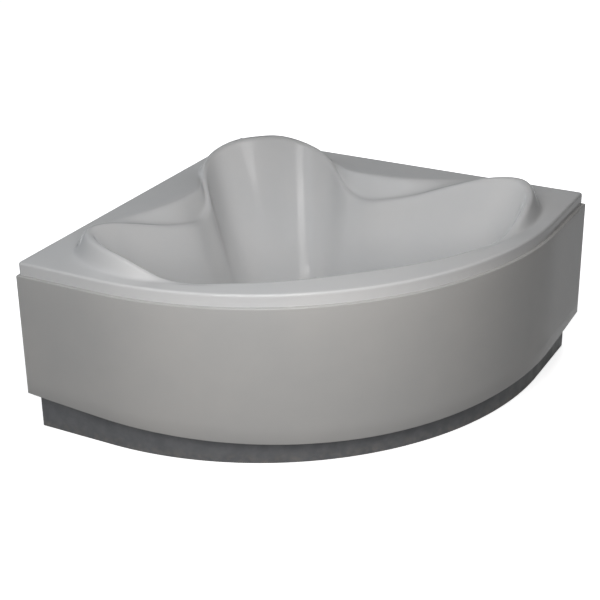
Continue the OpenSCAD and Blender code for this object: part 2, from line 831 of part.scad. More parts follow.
module overflow_knob() {
    k = knob_r;
    color("silver") to_room() at_overflow() difference() {
        rotate_extrude($fn = 96) polygon([
            [0, -22], [stem_r, -22], [stem_r, 9], [k - 6, 9], [k - 2, 8], [k, 10], [k - 1, 20], [k - 4, 23], [k - 12, 24], [0, 24]
        ]);
        for (a = [0 : 45 : 359]) rotate([0, 0, a]) translate([k + 4, 0, 7]) cylinder(h = 18, r = 7, $fn = 32);
    }
}

module overflow_seal() {
    color("black") to_room() at_overflow() translate([0, 0, cup_back]) difference() {
        cylinder(h = overflow_seal_t, r = cup_r - 2, $fn = 72);
        translate([0, 0, -1]) cylinder(h = overflow_seal_t + 2, r = neck_r + 0.3, $fn = 72);
    }
}

module overflow_body() {
    t = waste_t;
    color("whitesmoke") to_room() {
        difference() {
            union() {
                at_overflow() {
                    translate([0, 0, cup_back - cup_depth]) cylinder(h = cup_depth, r = cup_r, $fn = 72);
                    translate([0, 0, cup_back - 1]) cylinder(h = plate_gap - cup_back, r = neck_r, $fn = 72);
                }
                translate([hose_p, 0, spigot_z]) cylinder(h = overflow_z - spigot_z - 12, r = hose_bore_r + 1, $fn = 48);
                translate([cable_p, cable_y, cable_top]) cylinder(h = overflow_z - cable_top - 20, r = cable_r + 3, $fn = 32);
            }
            at_overflow() {
                translate([0, 0, cup_back - cup_depth + t]) cylinder(h = cup_depth - 2 * t, r = cup_r - t, $fn = 72);
                translate([0, 0, cup_back - t - 1]) cylinder(h = 40, r = neck_r - 5, $fn = 72);
            }
            translate([hose_p, 0, spigot_z - 1]) cylinder(h = overflow_z - spigot_z - 15, r = hose_bore_r - 1.5, $fn = 48);
        }
        at_overflow() difference() {
            union() {
                translate([0, 0, cup_back - 8]) cylinder(h = 8, r = stem_r + 4, $fn = 48);
                for (a = [90, 210, 330]) rotate([0, 0, a]) translate([stem_r + 2, -1.5, cup_back - 6])
                    cube([neck_r - stem_r - 4, 3, 5]);
            }
            translate([0, 0, cup_back - 9]) cylinder(h = 10, r = stem_r + 0.3, $fn = 48);
        }
    }
}

// Hose and cable follow one route: down behind the basin, round a bend, back to the drain
route_z = floor_z - hose_below;
route_top = spigot_z;
route_end = basin_p + body_r + inlet_l;

// Point and heading at length s of a route with a bend of radius b round its lower corner
function route(s, x, top, low, b) = let (d = top - low - b, c = b * PI / 2)
    s < d ? [x, top - s, 0]
    : s < d + c ? let (a = (s - d) / b * 180 / PI) [x - b * (1 - cos(a)), low + b * (1 - sin(a)), a]
    : [x - b - (s - d - c), low, 90];
function route_length(x, top, low, b, end) = (top - low - b) + b * PI / 2 + (x - b - end);

// A ring of n points round the route, square to its heading
function ring(q, r, y, n) = [for (k = [0 : n - 1]) let (a = 360 * (k + 0.5) / n)
    [q[0] + r * cos(a) * cos(q[2]), y + r * sin(a), q[1] - r * cos(a) * sin(q[2])]];

// A closed skin over a list of rings of n points: a hollow one joins its last ring to its first
module skin(rings, n, hollow) {
    m = len(rings);
    function at(j, k) = (j % m) * n + (k % n);
    polyhedron([for (g = rings) each g], concat(
        [for (j = [0 : m - (hollow ? 1 : 2)], k = [0 : n - 1]) each [
            [at(j, k), at(j, k + 1), at(j + 1, k + 1)],
            [at(j, k), at(j + 1, k + 1), at(j + 1, k)]
        ]],
        hollow ? [] : [[for (k = [n - 1 : -1 : 0]) at(0, k)], [for (k = [0 : n - 1]) at(m - 1, k)]]
    ));
}

module overflow_hose() {
    n = 8;
    all = route_length(hose_p, route_top, route_z, hose_bend, route_end);
    ribs = floor((all - 2 * hose_r) / rib_pitch);
    step = (all - 2 * hose_r) / ribs / 2;
    outer = concat(
        [[0, hose_bore_r + 2]],
        [for (i = [0 : 2 * ribs]) [hose_r + i * step, i % 2 == 0 ? hose_bore_r + 2 : hose_r]],
        [[all, hose_bore_r + 2]]
    );
    bore = [for (i = [24 : -1 : 0]) [all * i / 24, hose_bore_r]];
    color("lightgray") to_room() skin([for (g = concat(outer, bore))
        ring(route(all - g[0], hose_p, route_top, route_z, hose_bend), g[1], 0, n)], n, true);
}

module hose_nut() {
    difference() {
        union() {
            cylinder(h = 12, r = hose_r + 4, $fn = 64);
            for (a = [0 : 45 : 359]) rotate([0, 0, a]) translate([hose_r + 3, -1.5, 0]) cube([2.5, 3, 12]);
        }
        translate([0, 0, -1]) cylinder(h = 14, r = hose_bore_r + 1.3, $fn = 64);
    }
}

module hose_nuts() {
    color("whitesmoke") to_room() {
        translate([hose_p, 0, spigot_z]) hose_nut();
        translate([route_end, 0, route_z]) rotate([0, -90, 0]) hose_nut();
    }
}

cable_up = 8;
cable_bend = 50;
module plug_cable() {
    n = 8;
    low = route_z + cable_up;
    end = basin_p + sqrt(pow(body_r, 2) - pow(cable_y - cable_r, 2)) + seat_gap;
    all = route_length(cable_p, cable_top, low, cable_bend, end);
    color("dimgray") to_room() skin([for (i = [0 : 36])
        ring(route(all * (1 - i / 36), cable_p, cable_top, low, cable_bend), cable_r, cable_y, n)], n, false);
}

tub_shell();
base_board();
wall_batten(-1);  // wall_batten_left
wall_batten(1);  // wall_batten_right
front_batten();
corner_block_back();
corner_block(-1);  // corner_block_left
corner_block(1);  // corner_block_right
main_rail();
rear_rail();
spine_rail();
long_rail(-1);  // long_rail_left
long_rail(1);  // long_rail_right
front_rail(-1);  // front_rail_left
front_rail(1);  // front_rail_right
post_back();
post_side(-1);  // post_left
post_side(1);  // post_right
post_front(-1);  // post_front_left
post_front(1);  // post_front_right
rail_caps();
foot_nuts();
foot_rod(1, FOOT_BACK);  // foot_rod_back
foot_rod(-1, FOOT_SIDE);  // foot_rod_left
foot_rod(1, FOOT_SIDE);  // foot_rod_right
foot_rod(-1, FOOT_FRONT);  // foot_rod_front_left
foot_rod(1, FOOT_FRONT);  // foot_rod_front_right
foot_pad(1, FOOT_BACK);  // foot_pad_back
foot_pad(-1, FOOT_SIDE);  // foot_pad_left
foot_pad(1, FOOT_SIDE);  // foot_pad_right
foot_pad(-1, FOOT_FRONT);  // foot_pad_front_left
foot_pad(1, FOOT_FRONT);  // foot_pad_front_right
front_panel();
plinth();
panel_hangers();
panel_catches();
panel_magnets();
plinth_brackets();
wall_clips();
hanger_screws();
drain_flange();
drain_plug();
drain_seal();
drain_body();
trap_bowl();
trap_nut();
waste_pipe();
overflow_plate();
overflow_knob();
overflow_seal();
overflow_body();
overflow_hose();
hose_nuts();
plug_cable();
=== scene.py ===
import math

import bpy
import bmesh
import numpy as np
from mathutils import Matrix, Vector


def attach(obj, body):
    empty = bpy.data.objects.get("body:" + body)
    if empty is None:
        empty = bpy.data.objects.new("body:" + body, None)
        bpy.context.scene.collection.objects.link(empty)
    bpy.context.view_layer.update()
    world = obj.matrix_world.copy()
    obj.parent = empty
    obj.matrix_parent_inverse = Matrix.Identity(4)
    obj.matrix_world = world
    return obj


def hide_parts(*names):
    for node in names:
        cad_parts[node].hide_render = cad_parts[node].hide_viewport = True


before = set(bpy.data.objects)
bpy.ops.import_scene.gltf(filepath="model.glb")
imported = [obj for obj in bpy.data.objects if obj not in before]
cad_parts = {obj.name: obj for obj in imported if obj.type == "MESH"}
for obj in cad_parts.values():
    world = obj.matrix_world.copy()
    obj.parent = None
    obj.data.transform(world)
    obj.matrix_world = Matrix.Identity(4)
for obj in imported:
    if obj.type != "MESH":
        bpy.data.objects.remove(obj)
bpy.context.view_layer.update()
scene = bpy.context.scene
scene.view_settings.view_transform = "Standard"

# Sizes in millimetres. P runs along the diagonal from the wall corner to the middle of the front,
# W across it, Z up
RIM_SIDE, RIM_RETURN, RIM_H, LIP_H, RIM_EDGE = 1388.0, 293.0, 600.0, 41.0, 8.0
SHELL_T, BASIN_FROM_WALL, BASIN_DEPTH = 6.0, 652.0, 440.0
ROLL_R, FLOOR_R, DRAIN_R, OVERFLOW_R = 26.0, 80.0, 27.0, 26.0
ROOM_HALF = 700.0
ARC_R, ARC_P = RIM_SIDE - RIM_RETURN, RIM_RETURN * math.sqrt(2)
BASIN_P, FLOOR_Z, LIP_Z = BASIN_FROM_WALL * math.sqrt(2), RIM_H - BASIN_DEPTH, RIM_H - LIP_H
PANEL_PROUD, PANEL_T, PANEL_FLANGE, PANEL_GAP, PANEL_ARCH = 12.0, 4.0, 21.0, 88.0, 32.0
PANEL_R, PANEL_Z = ARC_R + PANEL_PROUD, LIP_Z - 0.3
PLINTH_R, PLINTH_T = ARC_R - 32.0, 4.0
RAIL_Z, RAIL_TOP = 112.0, 142.0
ROD_R, ROD_FOOT, ROD_TOP = 6.0, 10.0, 160.0
PAD_R, PAD_T, NECK_H = 30.0, 8.0, 22.0

# Stations round the basin: angle from the wall corner, radius and rise of the crest, width of the
# slope, radius of the foot
STATIONS = np.array([
    [0, 665, 84, 76, 372], [8, 675, 75.6, 66, 374], [16, 665, 47, 44, 374],
    [24, 590, 16.8, 30, 362], [32, 488, -48.6, 30, 344], [42, 453, -81, 42, 332],
    [54, 454, -67.2, 58, 332], [66, 509, -40.5, 76, 362], [76, 596, 3.4, 110, 415],
    [84, 680, 44.9, 84, 465], [92, 754, 68, 48, 510], [100, 758, 65.3, 44, 530],
    [110, 723, 49, 34, 530], [122, 663, 0, 22, 520], [138, 581, 0, 20, 480],
    [158, 508, 0, 20, 430], [180, 478, 0, 20, 405],
])


def room(p, w, z):
    """A point of the diagonal's frame, in millimetres, as the room's point in metres."""
    p, w, z = np.broadcast_arrays(np.asarray(p, float), np.asarray(w, float), np.asarray(z, float))
    s = math.sqrt(0.5)
    return np.stack([(p + w) * s - ROOM_HALF, (w - p) * s + ROOM_HALF, z], axis=-1) / 1000


def swung(angle, x, y):
    """A point of the plan turned about the origin by an angle in degrees."""
    c, s = math.cos(math.radians(angle)), math.sin(math.radians(angle))
    return x * c - y * s, x * s + y * c


def unit(v):
    """Vectors of length 1."""
    return v / np.maximum(np.linalg.norm(v, axis=-1, keepdims=True), 1e-12)


def set_out(name, data):
    """A new object of this data in the scene."""
    thing = bpy.data.objects.new(name, data)
    scene.collection.objects.link(thing)
    return thing


# Camera at the photograph's standpoint

CAMERA_AT, LENS, SENSOR = (2.034609, -3.876689, 2.350609), 85.27, 36
CAMERA_RIGHT, CAMERA_BACK = (0.881896, 0.471296, -0.011756), (0.432333, -0.79854, 0.418835)


def make_camera():
    back = Vector(CAMERA_BACK).normalized()
    up = back.cross(Vector(CAMERA_RIGHT).normalized()).normalized()
    data = bpy.data.cameras.new("photo_camera")
    data.sensor_width, data.lens, data.clip_end = SENSOR, LENS, 60
    camera = set_out("photo_camera", data)
    turn = Matrix((up.cross(back), up, back)).transposed().to_4x4()
    camera.matrix_world = Matrix.Translation(CAMERA_AT) @ turn
    scene.camera = camera


make_camera()


# Lamps: place, aim, size, power, colour, and whether a mirror shows them

LAMPS = {
    "key_above_front": ((1, -1.6, 3.2), (0, 0, 0.3), (1.8, 1.8), 15, (1, 0.985, 0.97), True),
    "low_front": ((1, -2.5, 1.75), (0, -0.2, 0.45), (1.5, 1.2), 36, (1, 0.975, 0.955), True),
    "near_front": ((0.95, -1.4, 1.9), (0.35, -0.4, 0.45), (0.9, 0.9), 4.5, (1, 0.985, 0.97), True),
    "over_basin": ((0.4, -0.9, 2.2), (-0.1, 0, 0.3), (1, 1), 3.5, (0.97, 0.985, 1), True),
    "left_front": ((-0.8, -2.4, 2.8), (0, 0, 0.3), (1.8, 1.8), 4, (0.65, 0.82, 1), True),
    "left_wall_side": ((-3.2, 0.7, 1.1), (-0.3, 0.2, 0.35), (1.6, 1.2), 36, (0.95, 0.98, 1), False),
    "rear_wall_side": ((-0.4, 3.6, 1.2), (-0.2, 0.3, 0.35), (1.4, 1.2), 40, (0.97, 0.98, 1), False),
}


def soft_light(name, at, aim, size, power, colour, mirrored):
    data = bpy.data.lights.new(name, "AREA")
    data.shape = "RECTANGLE"
    data.size, data.size_y = size
    data.energy, data.color = power, colour
    lamp = set_out(name, data)
    lamp.location = at
    lamp.rotation_euler = (Vector(aim) - Vector(at)).to_track_quat("-Z", "Y").to_euler()
    lamp.visible_camera = False
    lamp.visible_glossy = mirrored


for lamp_name, settings in LAMPS.items():
    soft_light(lamp_name, *settings)


# Node trees: nodes and groups, for shaders and for geometry alike

def fill(tree, socket, value):
    """Feeds an input from another node's socket, or sets it to a plain value."""
    if isinstance(value, bpy.types.NodeSocket):
        tree.links.new(value, socket)
    else:
        socket.default_value = value


def place(tree, kind, **settings):
    """A new node of a tree. A setting fills the input of that name, or is a field of the node."""
    node = tree.nodes.new(kind)
    for key, value in settings.items():
        label = key.replace("_", " ")
        if label in node.inputs:
            fill(tree, node.inputs[label], value)
        else:
            setattr(node, key, value)
    return node


def row(tree, kind, *feeds, **settings):
    """A new node whose inputs are filled in their order, as its first output."""
    node = place(tree, kind, **settings)
    for socket, value in zip(node.inputs, feeds):
        fill(tree, socket, value)
    return node.outputs[0]


def maths(tree, operation, a, b, clamp=False):
    """A sum fed by sockets or plain numbers."""
    return row(tree, "ShaderNodeMath", a, b, operation=operation, use_clamp=clamp)


def times(tree, a, b, clamp=False):
    return maths(tree, "MULTIPLY", a, b, clamp)


def group(name, kind, **takes):
    """An empty node group and its inputs' sockets. A word stands for a kind that has no value."""
    tree = bpy.data.node_groups.new(name, kind)
    for label, value in takes.items():
        if isinstance(value, tuple):
            sort = "Color" if len(value) == 4 else "Vector"
        else:
            sort = {bool: "Bool", int: "Int", float: "Float"}.get(type(value), value)
        socket = tree.interface.new_socket(label.replace("_", " "), in_out="INPUT",
                                           socket_type="NodeSocket" + sort)
        if sort != value:
            socket.default_value = value
    return tree, tree.nodes.new("NodeGroupInput").outputs


def gives(tree, **sockets):
    """Closes a group: adds its named outputs and feeds them."""
    sorts = {"RGBA": "Color", "VALUE": "Float", "GEOMETRY": "Geometry"}
    for label, socket in sockets.items():
        tree.interface.new_socket(label, in_out="OUTPUT",
                                  socket_type="NodeSocket" + sorts[socket.type])
    place(tree, "NodeGroupOutput", **sockets)
    return tree


def here_in(tree):
    """The piece's own coordinates."""
    return place(tree, "ShaderNodeTexCoord").outputs["Object"]


# Backdrop and floor

SURROUND_IN_GLOSS, FAINT_SKY, SKY_STRENGTH = 0.25, (0.86, 0.93, 1.0, 1), 0.03
FLOOR_SEEN, FLOOR_BOUNCE, FLOOR_REACH = (0.82, 0.82, 0.82, 1), (0.28, 0.28, 0.28, 1), 14.0
GLOW_NEAR, GLOW_FAR, GLOW_LEAST = 1.0, 2.4, 0.8


def white_for(tree, rays):
    """1 for the camera and a fraction of it in reflections."""
    seen = rays["Is Camera Ray"]
    strength = place(tree, "ShaderNodeMapRange", To_Min=SURROUND_IN_GLOSS, Value=seen)
    return strength.outputs["Result"]


def seen_by(tree, rays):
    """1 for what shows to the camera, to mirrors and through glass."""
    sharp = maths(tree, "MAXIMUM", rays["Is Glossy Ray"], rays["Is Transmission Ray"])
    return maths(tree, "MAXIMUM", rays["Is Camera Ray"], sharp)


def emptied(owner):
    """The emptied node tree of a world or a material, and the kinds of ray that reach it."""
    owner.use_nodes = True
    tree = owner.node_tree
    tree.nodes.clear()
    return tree, place(tree, "ShaderNodeLightPath").outputs


def make_world():
    world = bpy.data.worlds.new("studio")
    tree, rays = emptied(world)
    dim = place(tree, "ShaderNodeBackground", Color=FAINT_SKY, Strength=SKY_STRENGTH)
    white = place(tree, "ShaderNodeBackground", Color=(1, 1, 1, 1), Strength=white_for(tree, rays))
    mix = row(tree, "ShaderNodeMixShader", seen_by(tree, rays), dim.outputs[0], white.outputs[0])
    place(tree, "ShaderNodeOutputWorld", Surface=mix)
    scene.world = world


def make_floor():
    mesh = bpy.data.meshes.new("studio_floor")
    r = FLOOR_REACH
    mesh.from_pydata([(-r, -r, 0), (r, -r, 0), (r, r, 0), (-r, r, 0)], [], [(0, 1, 2, 3)])
    paint = bpy.data.materials.new("pale_floor")
    tree, rays = emptied(paint)
    far = place(tree, "ShaderNodeVectorMath", operation="LENGTH", Vector=here_in(tree))
    # The glow is a little lower near the bath, where the floor keeps its shadow
    spread = place(tree, "ShaderNodeMapRange", Value=far.outputs["Value"], From_Min=GLOW_NEAR,
                   From_Max=GLOW_FAR, To_Min=GLOW_LEAST, To_Max=1.0)
    level = times(tree, spread.outputs["Result"], white_for(tree, rays))
    matt = place(tree, "ShaderNodeBsdfDiffuse", Color=FLOOR_SEEN)
    glow = place(tree, "ShaderNodeEmission", Strength=level)
    bounce = place(tree, "ShaderNodeBsdfDiffuse", Color=FLOOR_BOUNCE)
    both = row(tree, "ShaderNodeAddShader", matt.outputs[0], glow.outputs[0])
    pick = row(tree, "ShaderNodeMixShader", seen_by(tree, rays), bounce.outputs[0], both)
    place(tree, "ShaderNodeOutputMaterial", Surface=pick)
    mesh.materials.append(paint)
    floor = set_out("studio_floor", mesh)


make_world()
make_floor()


# Shader effects that several finishes share

GREY = (0.5, 0.5, 0.5, 1)


def noise_at(tree, size, detail=3.0, roughness=0.5, stretch=None):
    """Noise on the piece's own coordinates. Size is a socket or a number, in metres."""
    at = here_in(tree)
    if stretch is not None:
        at = place(tree, "ShaderNodeMapping", Vector=at, Scale=stretch[0],
                   Rotation=stretch[1]).outputs["Vector"]
    noise = place(tree, "ShaderNodeTexNoise", Detail=detail, Roughness=roughness, Vector=at,
                  Scale=maths(tree, "DIVIDE", 1.0, size))
    return noise.outputs["Fac"]


def blended(tree, share, a, b):
    """A colour mix of two sockets or colours by a share."""
    node = place(tree, "ShaderNodeMix", data_type="RGBA")
    fill(tree, node.inputs[0], share)
    for socket, value in zip([s for s in node.inputs if s.type == "RGBA"], (a, b)):
        fill(tree, socket, value)
    return next(s for s in node.outputs if s.type == "RGBA")


def stepped(tree, value, low, high):
    """The value spread from 0 at low to 1 at high."""
    node = place(tree, "ShaderNodeMapRange", interpolation_type="SMOOTHSTEP", Value=value,
                 From_Min=low, From_Max=high)
    return node.outputs["Result"]


def make_cast_tone():
    """Slow patches and small flecks of colour and gloss, as on any moulded or painted skin."""
    tree, take = group("cast_tone", "ShaderNodeTree", Colour=GREY, Patch_Colour=GREY,
                       Patch_Size=0.2, Fleck_Size=0.004, Fleck_Share=0.1, Roughness=0.3,
                       Roughness_Spread=0.08)
    patch = stepped(tree, noise_at(tree, take["Patch Size"], 4.0, 0.55), 0.3, 0.7)
    fleck = stepped(tree, noise_at(tree, take["Fleck Size"], 2.0, 0.6), 0.5, 0.75)
    toned = blended(tree, patch, take["Colour"], take["Patch Colour"])
    share = times(tree, fleck, take["Fleck Share"])
    spread = times(tree, maths(tree, "SUBTRACT", patch, 0.5), take["Roughness Spread"])
    return gives(tree, Colour=blended(tree, share, toned, take["Patch Colour"]),
                 Roughness=maths(tree, "ADD", take["Roughness"], spread, True))


def make_skin_wave():
    """The slow wave and the fine peel of a drawn or sprayed skin, as a height."""
    tree, take = group("skin_wave", "ShaderNodeTree", Wave_Size=0.12, Wave_Height=1.0,
                       Peel_Size=0.004, Peel_Height=0.1)
    wave = times(tree, noise_at(tree, take["Wave Size"], 1.0), take["Wave Height"])
    peel = times(tree, noise_at(tree, take["Peel Size"], 2.0), take["Peel Height"])
    return gives(tree, Height=maths(tree, "ADD", wave, peel))


def make_settled_dust():
    """A mask of dust that lies on upward faces and near the floor."""
    tree, take = group("settled_dust", "ShaderNodeTree", Reach=0.05, Amount=0.4, Grain_Size=0.02)
    split = place(tree, "ShaderNodeSeparateXYZ", Vector=here_in(tree))
    low = maths(tree, "SUBTRACT", 1.0, stepped(tree, split.outputs["Z"], 0.0, take["Reach"]))
    normal = place(tree, "ShaderNodeNewGeometry").outputs["Normal"]
    facing = place(tree, "ShaderNodeSeparateXYZ", Vector=normal)
    up = times(tree, stepped(tree, facing.outputs["Z"], 0.4, 1.0), 0.6)
    grains = stepped(tree, noise_at(tree, take["Grain Size"], 5.0), 0.35, 0.75)
    broken = times(tree, maths(tree, "MAXIMUM", low, up), grains)
    return gives(tree, Mask=times(tree, broken, take["Amount"], True))


def make_chopped_mat():
    """Chopped glass strands in resin: threads that cross in all directions, a mask and a height."""
    tree, take = group("chopped_mat", "ShaderNodeTree", Strand_Length=0.03, Resin_Size=0.06)
    found = None
    for k, angle in enumerate((0.2, 0.85, 1.5, 2.2, 2.75)):
        along = ((1.0, 14.0, 14.0), (0.5 * k, 0.35 * k, angle))
        thread = stepped(tree, noise_at(tree, take["Strand Length"], 1.0, 0.4, along), 0.56, 0.66)
        found = maths(tree, "MAXIMUM", found, thread) if found else thread
    resin = noise_at(tree, take["Resin Size"], 3.0, 0.6)
    return gives(tree, Strands=found, Height=maths(tree, "ADD", times(tree, found, 0.35), resin))


def make_spangle():
    """The crystals of a hot zinc coat, as a shade and a height that change from cell to cell."""
    tree, take = group("zinc_spangle", "ShaderNodeTree", Crystal_Size=0.012, Contrast=0.3)
    cells = place(tree, "ShaderNodeTexVoronoi", Randomness=1.0, Vector=here_in(tree),
                  Scale=maths(tree, "DIVIDE", 1.0, take["Crystal Size"]))
    grey = place(tree, "ShaderNodeSeparateColor", Color=cells.outputs["Color"]).outputs[0]
    shade_off = times(tree, maths(tree, "SUBTRACT", grey, 0.5), take["Contrast"])
    return gives(tree, Shade=maths(tree, "ADD", shade_off, 0.5, True),
                 Height=cells.outputs["Distance"])


def make_wood_layers():
    """Long grain for sawn timber or pressed chips for board, as a mask and a height."""
    tree, take = group("wood_layers", "ShaderNodeTree", Grain_Size=0.02, Chip_Size=0.004, Chips=0.0)
    grain = noise_at(tree, take["Grain Size"], 5.0, 0.6, ((0.09, 1.0, 1.0), (0.0, 0.0, 0.0)))
    rings = stepped(tree, maths(tree, "PINGPONG", times(tree, grain, 9.0), 1.0), 0.15, 0.9)
    chip = noise_at(tree, take["Chip Size"], 3.0, 0.7, ((1.0, 2.6, 1.6), (0.0, 0.0, 0.6)))
    flakes = stepped(tree, chip, 0.35, 0.65)
    both = place(tree, "ShaderNodeMix", Factor=take["Chips"], A=rings, B=flakes).outputs[0]
    return gives(tree, Grain=both, Height=both)


def make_worn_edge():
    """A broken line of wear along the sharp edges of a piece."""
    tree, take = group("worn_edge", "ShaderNodeTree", Width=0.0015, Break_Size=0.012, Amount=0.6)
    rounded = place(tree, "ShaderNodeBevel", samples=4, Radius=take["Width"]).outputs["Normal"]
    flat = place(tree, "ShaderNodeNewGeometry").outputs["Normal"]
    turn = place(tree, "ShaderNodeVectorMath", operation="DOT_PRODUCT")
    for socket, normal in zip(turn.inputs, (rounded, flat)):
        fill(tree, socket, normal)
    edge = stepped(tree, maths(tree, "SUBTRACT", 1.0, turn.outputs["Value"]), 0.01, 0.12)
    patches = stepped(tree, noise_at(tree, take["Break Size"], 5.0, 0.6), 0.42, 0.6)
    return gives(tree, Mask=times(tree, times(tree, edge, patches), take["Amount"], True))


CAST_TONE = make_cast_tone()
SKIN_WAVE = make_skin_wave()
SETTLED_DUST = make_settled_dust()
CHOPPED_MAT = make_chopped_mat()
SPANGLE = make_spangle()
WOOD_LAYERS = make_wood_layers()
WORN_EDGE = make_worn_edge()


# Finishes

def shade(r, g, b):
    """A colour as seen on a screen, from 0 to 255, as Blender's linear colour."""
    def line(v):
        v /= 255
        return v / 12.92 if v <= 0.04045 else ((v + 0.055) / 1.055) ** 2.4
    return (line(r), line(g), line(b), 1.0)


class Finish:
    """A material with its Principled shader, into which effects are placed."""

    def __init__(self, name, **fixed):
        self.material = bpy.data.materials.new(name)
        self.material.use_nodes = True
        self.tree = self.material.node_tree
        self.shader = self.tree.nodes["Principled BSDF"]
        for label, value in fixed.items():
            self.shader.inputs[label.replace("_", " ")].default_value = value

    def use(self, effect, **values):
        return place(self.tree, "ShaderNodeGroup", node_tree=effect, **values).outputs

    def coat(self, colour):
        self.colour = colour
        fill(self.tree, self.shader.inputs["Base Color"], colour)

    def lay(self, mask, colour, strength=None):
        """Lays a colour over the finish where the mask says."""
        share = mask if strength is None else times(self.tree, mask, strength)
        self.coat(blended(self.tree, share, self.colour, colour))

    def tone(self, colour, patch, size, fleck, share, rough, spread):
        it = self.use(CAST_TONE, Colour=colour, Patch_Colour=patch, Patch_Size=size,
                      Fleck_Size=fleck, Fleck_Share=share, Roughness=rough, Roughness_Spread=spread)
        fill(self.tree, self.shader.inputs["Roughness"], it["Roughness"])
        self.coat(it["Colour"])

    def dust(self, colour, reach, amount):
        self.lay(self.use(SETTLED_DUST, Reach=reach, Amount=amount)["Mask"], colour)

    def wear(self, colour, width, size, amount):
        self.lay(self.use(WORN_EDGE, Width=width, Break_Size=size, Amount=amount)["Mask"], colour)

    def relief(self, height, strength, distance):
        bump = place(self.tree, "ShaderNodeBump", Strength=strength, Distance=distance,
                     Height=height)
        fill(self.tree, self.shader.inputs["Normal"], bump.outputs["Normal"])

    def skin(self, wave, peel, strength, distance):
        """The relief of a skin: size and height of its wave and of its peel."""
        it = self.use(SKIN_WAVE, Wave_Size=wave[0], Wave_Height=wave[1], Peel_Size=peel[0],
                      Peel_Height=peel[1])
        self.relief(it["Height"], strength, distance)


def make_acrylic(name, colour, patch, rough):
    it = Finish(name, IOR=1.49, Specular_IOR_Level=0.35)
    it.tone(colour, patch, size=0.35, fleck=0.002, share=0.05, rough=rough, spread=0.05)
    it.skin(wave=(0.11, 1.0), peel=(0.003, 0.03), strength=0.35, distance=0.0012)
    return it.material


def make_fibre_backing():
    it = Finish("glass_fibre_backing", IOR=1.5, Coat_Weight=0.25, Coat_Roughness=0.25)
    it.tone(shade(186, 182, 164), shade(168, 162, 138), size=0.09, fleck=0.003, share=0.3,
            rough=0.45, spread=0.2)
    mat = it.use(CHOPPED_MAT, Strand_Length=0.035, Resin_Size=0.05)
    it.lay(mat["Strands"], shade(214, 211, 198), 0.5)
    it.relief(mat["Height"], 0.6, 0.002)
    return it.material


def make_board_wood():
    it = Finish("pressed_board", IOR=1.45)
    it.tone(shade(176, 146, 104), shade(150, 120, 82), size=0.06, fleck=0.002, share=0.5,
            rough=0.75, spread=0.1)
    wood = it.use(WOOD_LAYERS, Grain_Size=0.02, Chip_Size=0.004, Chips=1.0)
    it.lay(wood["Grain"], shade(120, 90, 58), 0.6)
    it.wear(shade(196, 170, 130), width=0.0015, size=0.01, amount=0.6)
    it.relief(wood["Height"], 0.4, 0.0008)
    return it.material


def make_batten_wood():
    it = Finish("sawn_batten", IOR=1.45)
    it.tone(shade(204, 172, 124), shade(186, 150, 102), size=0.12, fleck=0.003, share=0.2,
            rough=0.7, spread=0.12)
    wood = it.use(WOOD_LAYERS, Grain_Size=0.016, Chip_Size=0.004, Chips=0.15)
    it.lay(wood["Grain"], shade(150, 108, 64), 0.45)
    it.wear(shade(222, 196, 152), width=0.0012, size=0.02, amount=0.6)
    it.relief(wood["Height"], 0.35, 0.0006)
    return it.material


def make_zinc():
    it = Finish("bright_zinc", Metallic=0.85, IOR=1.5)
    it.tone(shade(196, 199, 202), shade(172, 176, 180), size=0.07, fleck=0.003, share=0.3,
            rough=0.3, spread=0.2)
    crystals = it.use(SPANGLE, Crystal_Size=0.004, Contrast=0.25)
    it.lay(crystals["Shade"], shade(120, 124, 128))
    it.dust(shade(120, 112, 100), reach=0.12, amount=0.35)
    it.relief(crystals["Height"], 0.1, 0.0004)
    return it.material


def make_powder_coat():
    it = Finish("powder_coated_steel", IOR=1.5)
    it.tone(shade(104, 107, 112), shade(92, 95, 100), size=0.09, fleck=0.0015, share=0.35,
            rough=0.42, spread=0.15)
    it.wear(shade(168, 166, 162), width=0.0012, size=0.015, amount=0.75)
    it.dust(shade(150, 142, 130), reach=0.14, amount=0.4)
    it.skin(wave=(0.02, 0.3), peel=(0.0011, 0.6), strength=0.35, distance=0.0004)
    return it.material


def make_chrome():
    it = Finish("polished_chrome", Metallic=1.0)
    it.tone(shade(226, 228, 230), shade(206, 209, 213), size=0.03, fleck=0.001, share=0.2,
            rough=0.08, spread=0.08)
    it.skin(wave=(0.02, 0.6), peel=(0.0012, 0.08), strength=0.12, distance=0.0004)
    return it.material


def make_plastic(name, colour, patch, rough, peel=0.0015):
    it = Finish(name, IOR=1.46)
    it.tone(colour, patch, size=0.05, fleck=0.002, share=0.25, rough=rough, spread=0.15)
    it.wear(patch, width=0.001, size=0.01, amount=0.5)
    it.dust(shade(158, 152, 142), reach=0.05, amount=0.4)
    it.skin(wave=(0.03, 0.4), peel=(peel, 0.3), strength=0.3, distance=0.0005)
    return it.material


def make_magnet():
    it = Finish("ferrite_magnet", Metallic=0.4, IOR=1.6)
    it.tone(shade(70, 70, 74), shade(52, 52, 56), size=0.01, fleck=0.0008, share=0.5, rough=0.5,
            spread=0.15)
    it.skin(wave=(0.01, 0.3), peel=(0.0007, 0.6), strength=0.4, distance=0.0003)
    return it.material


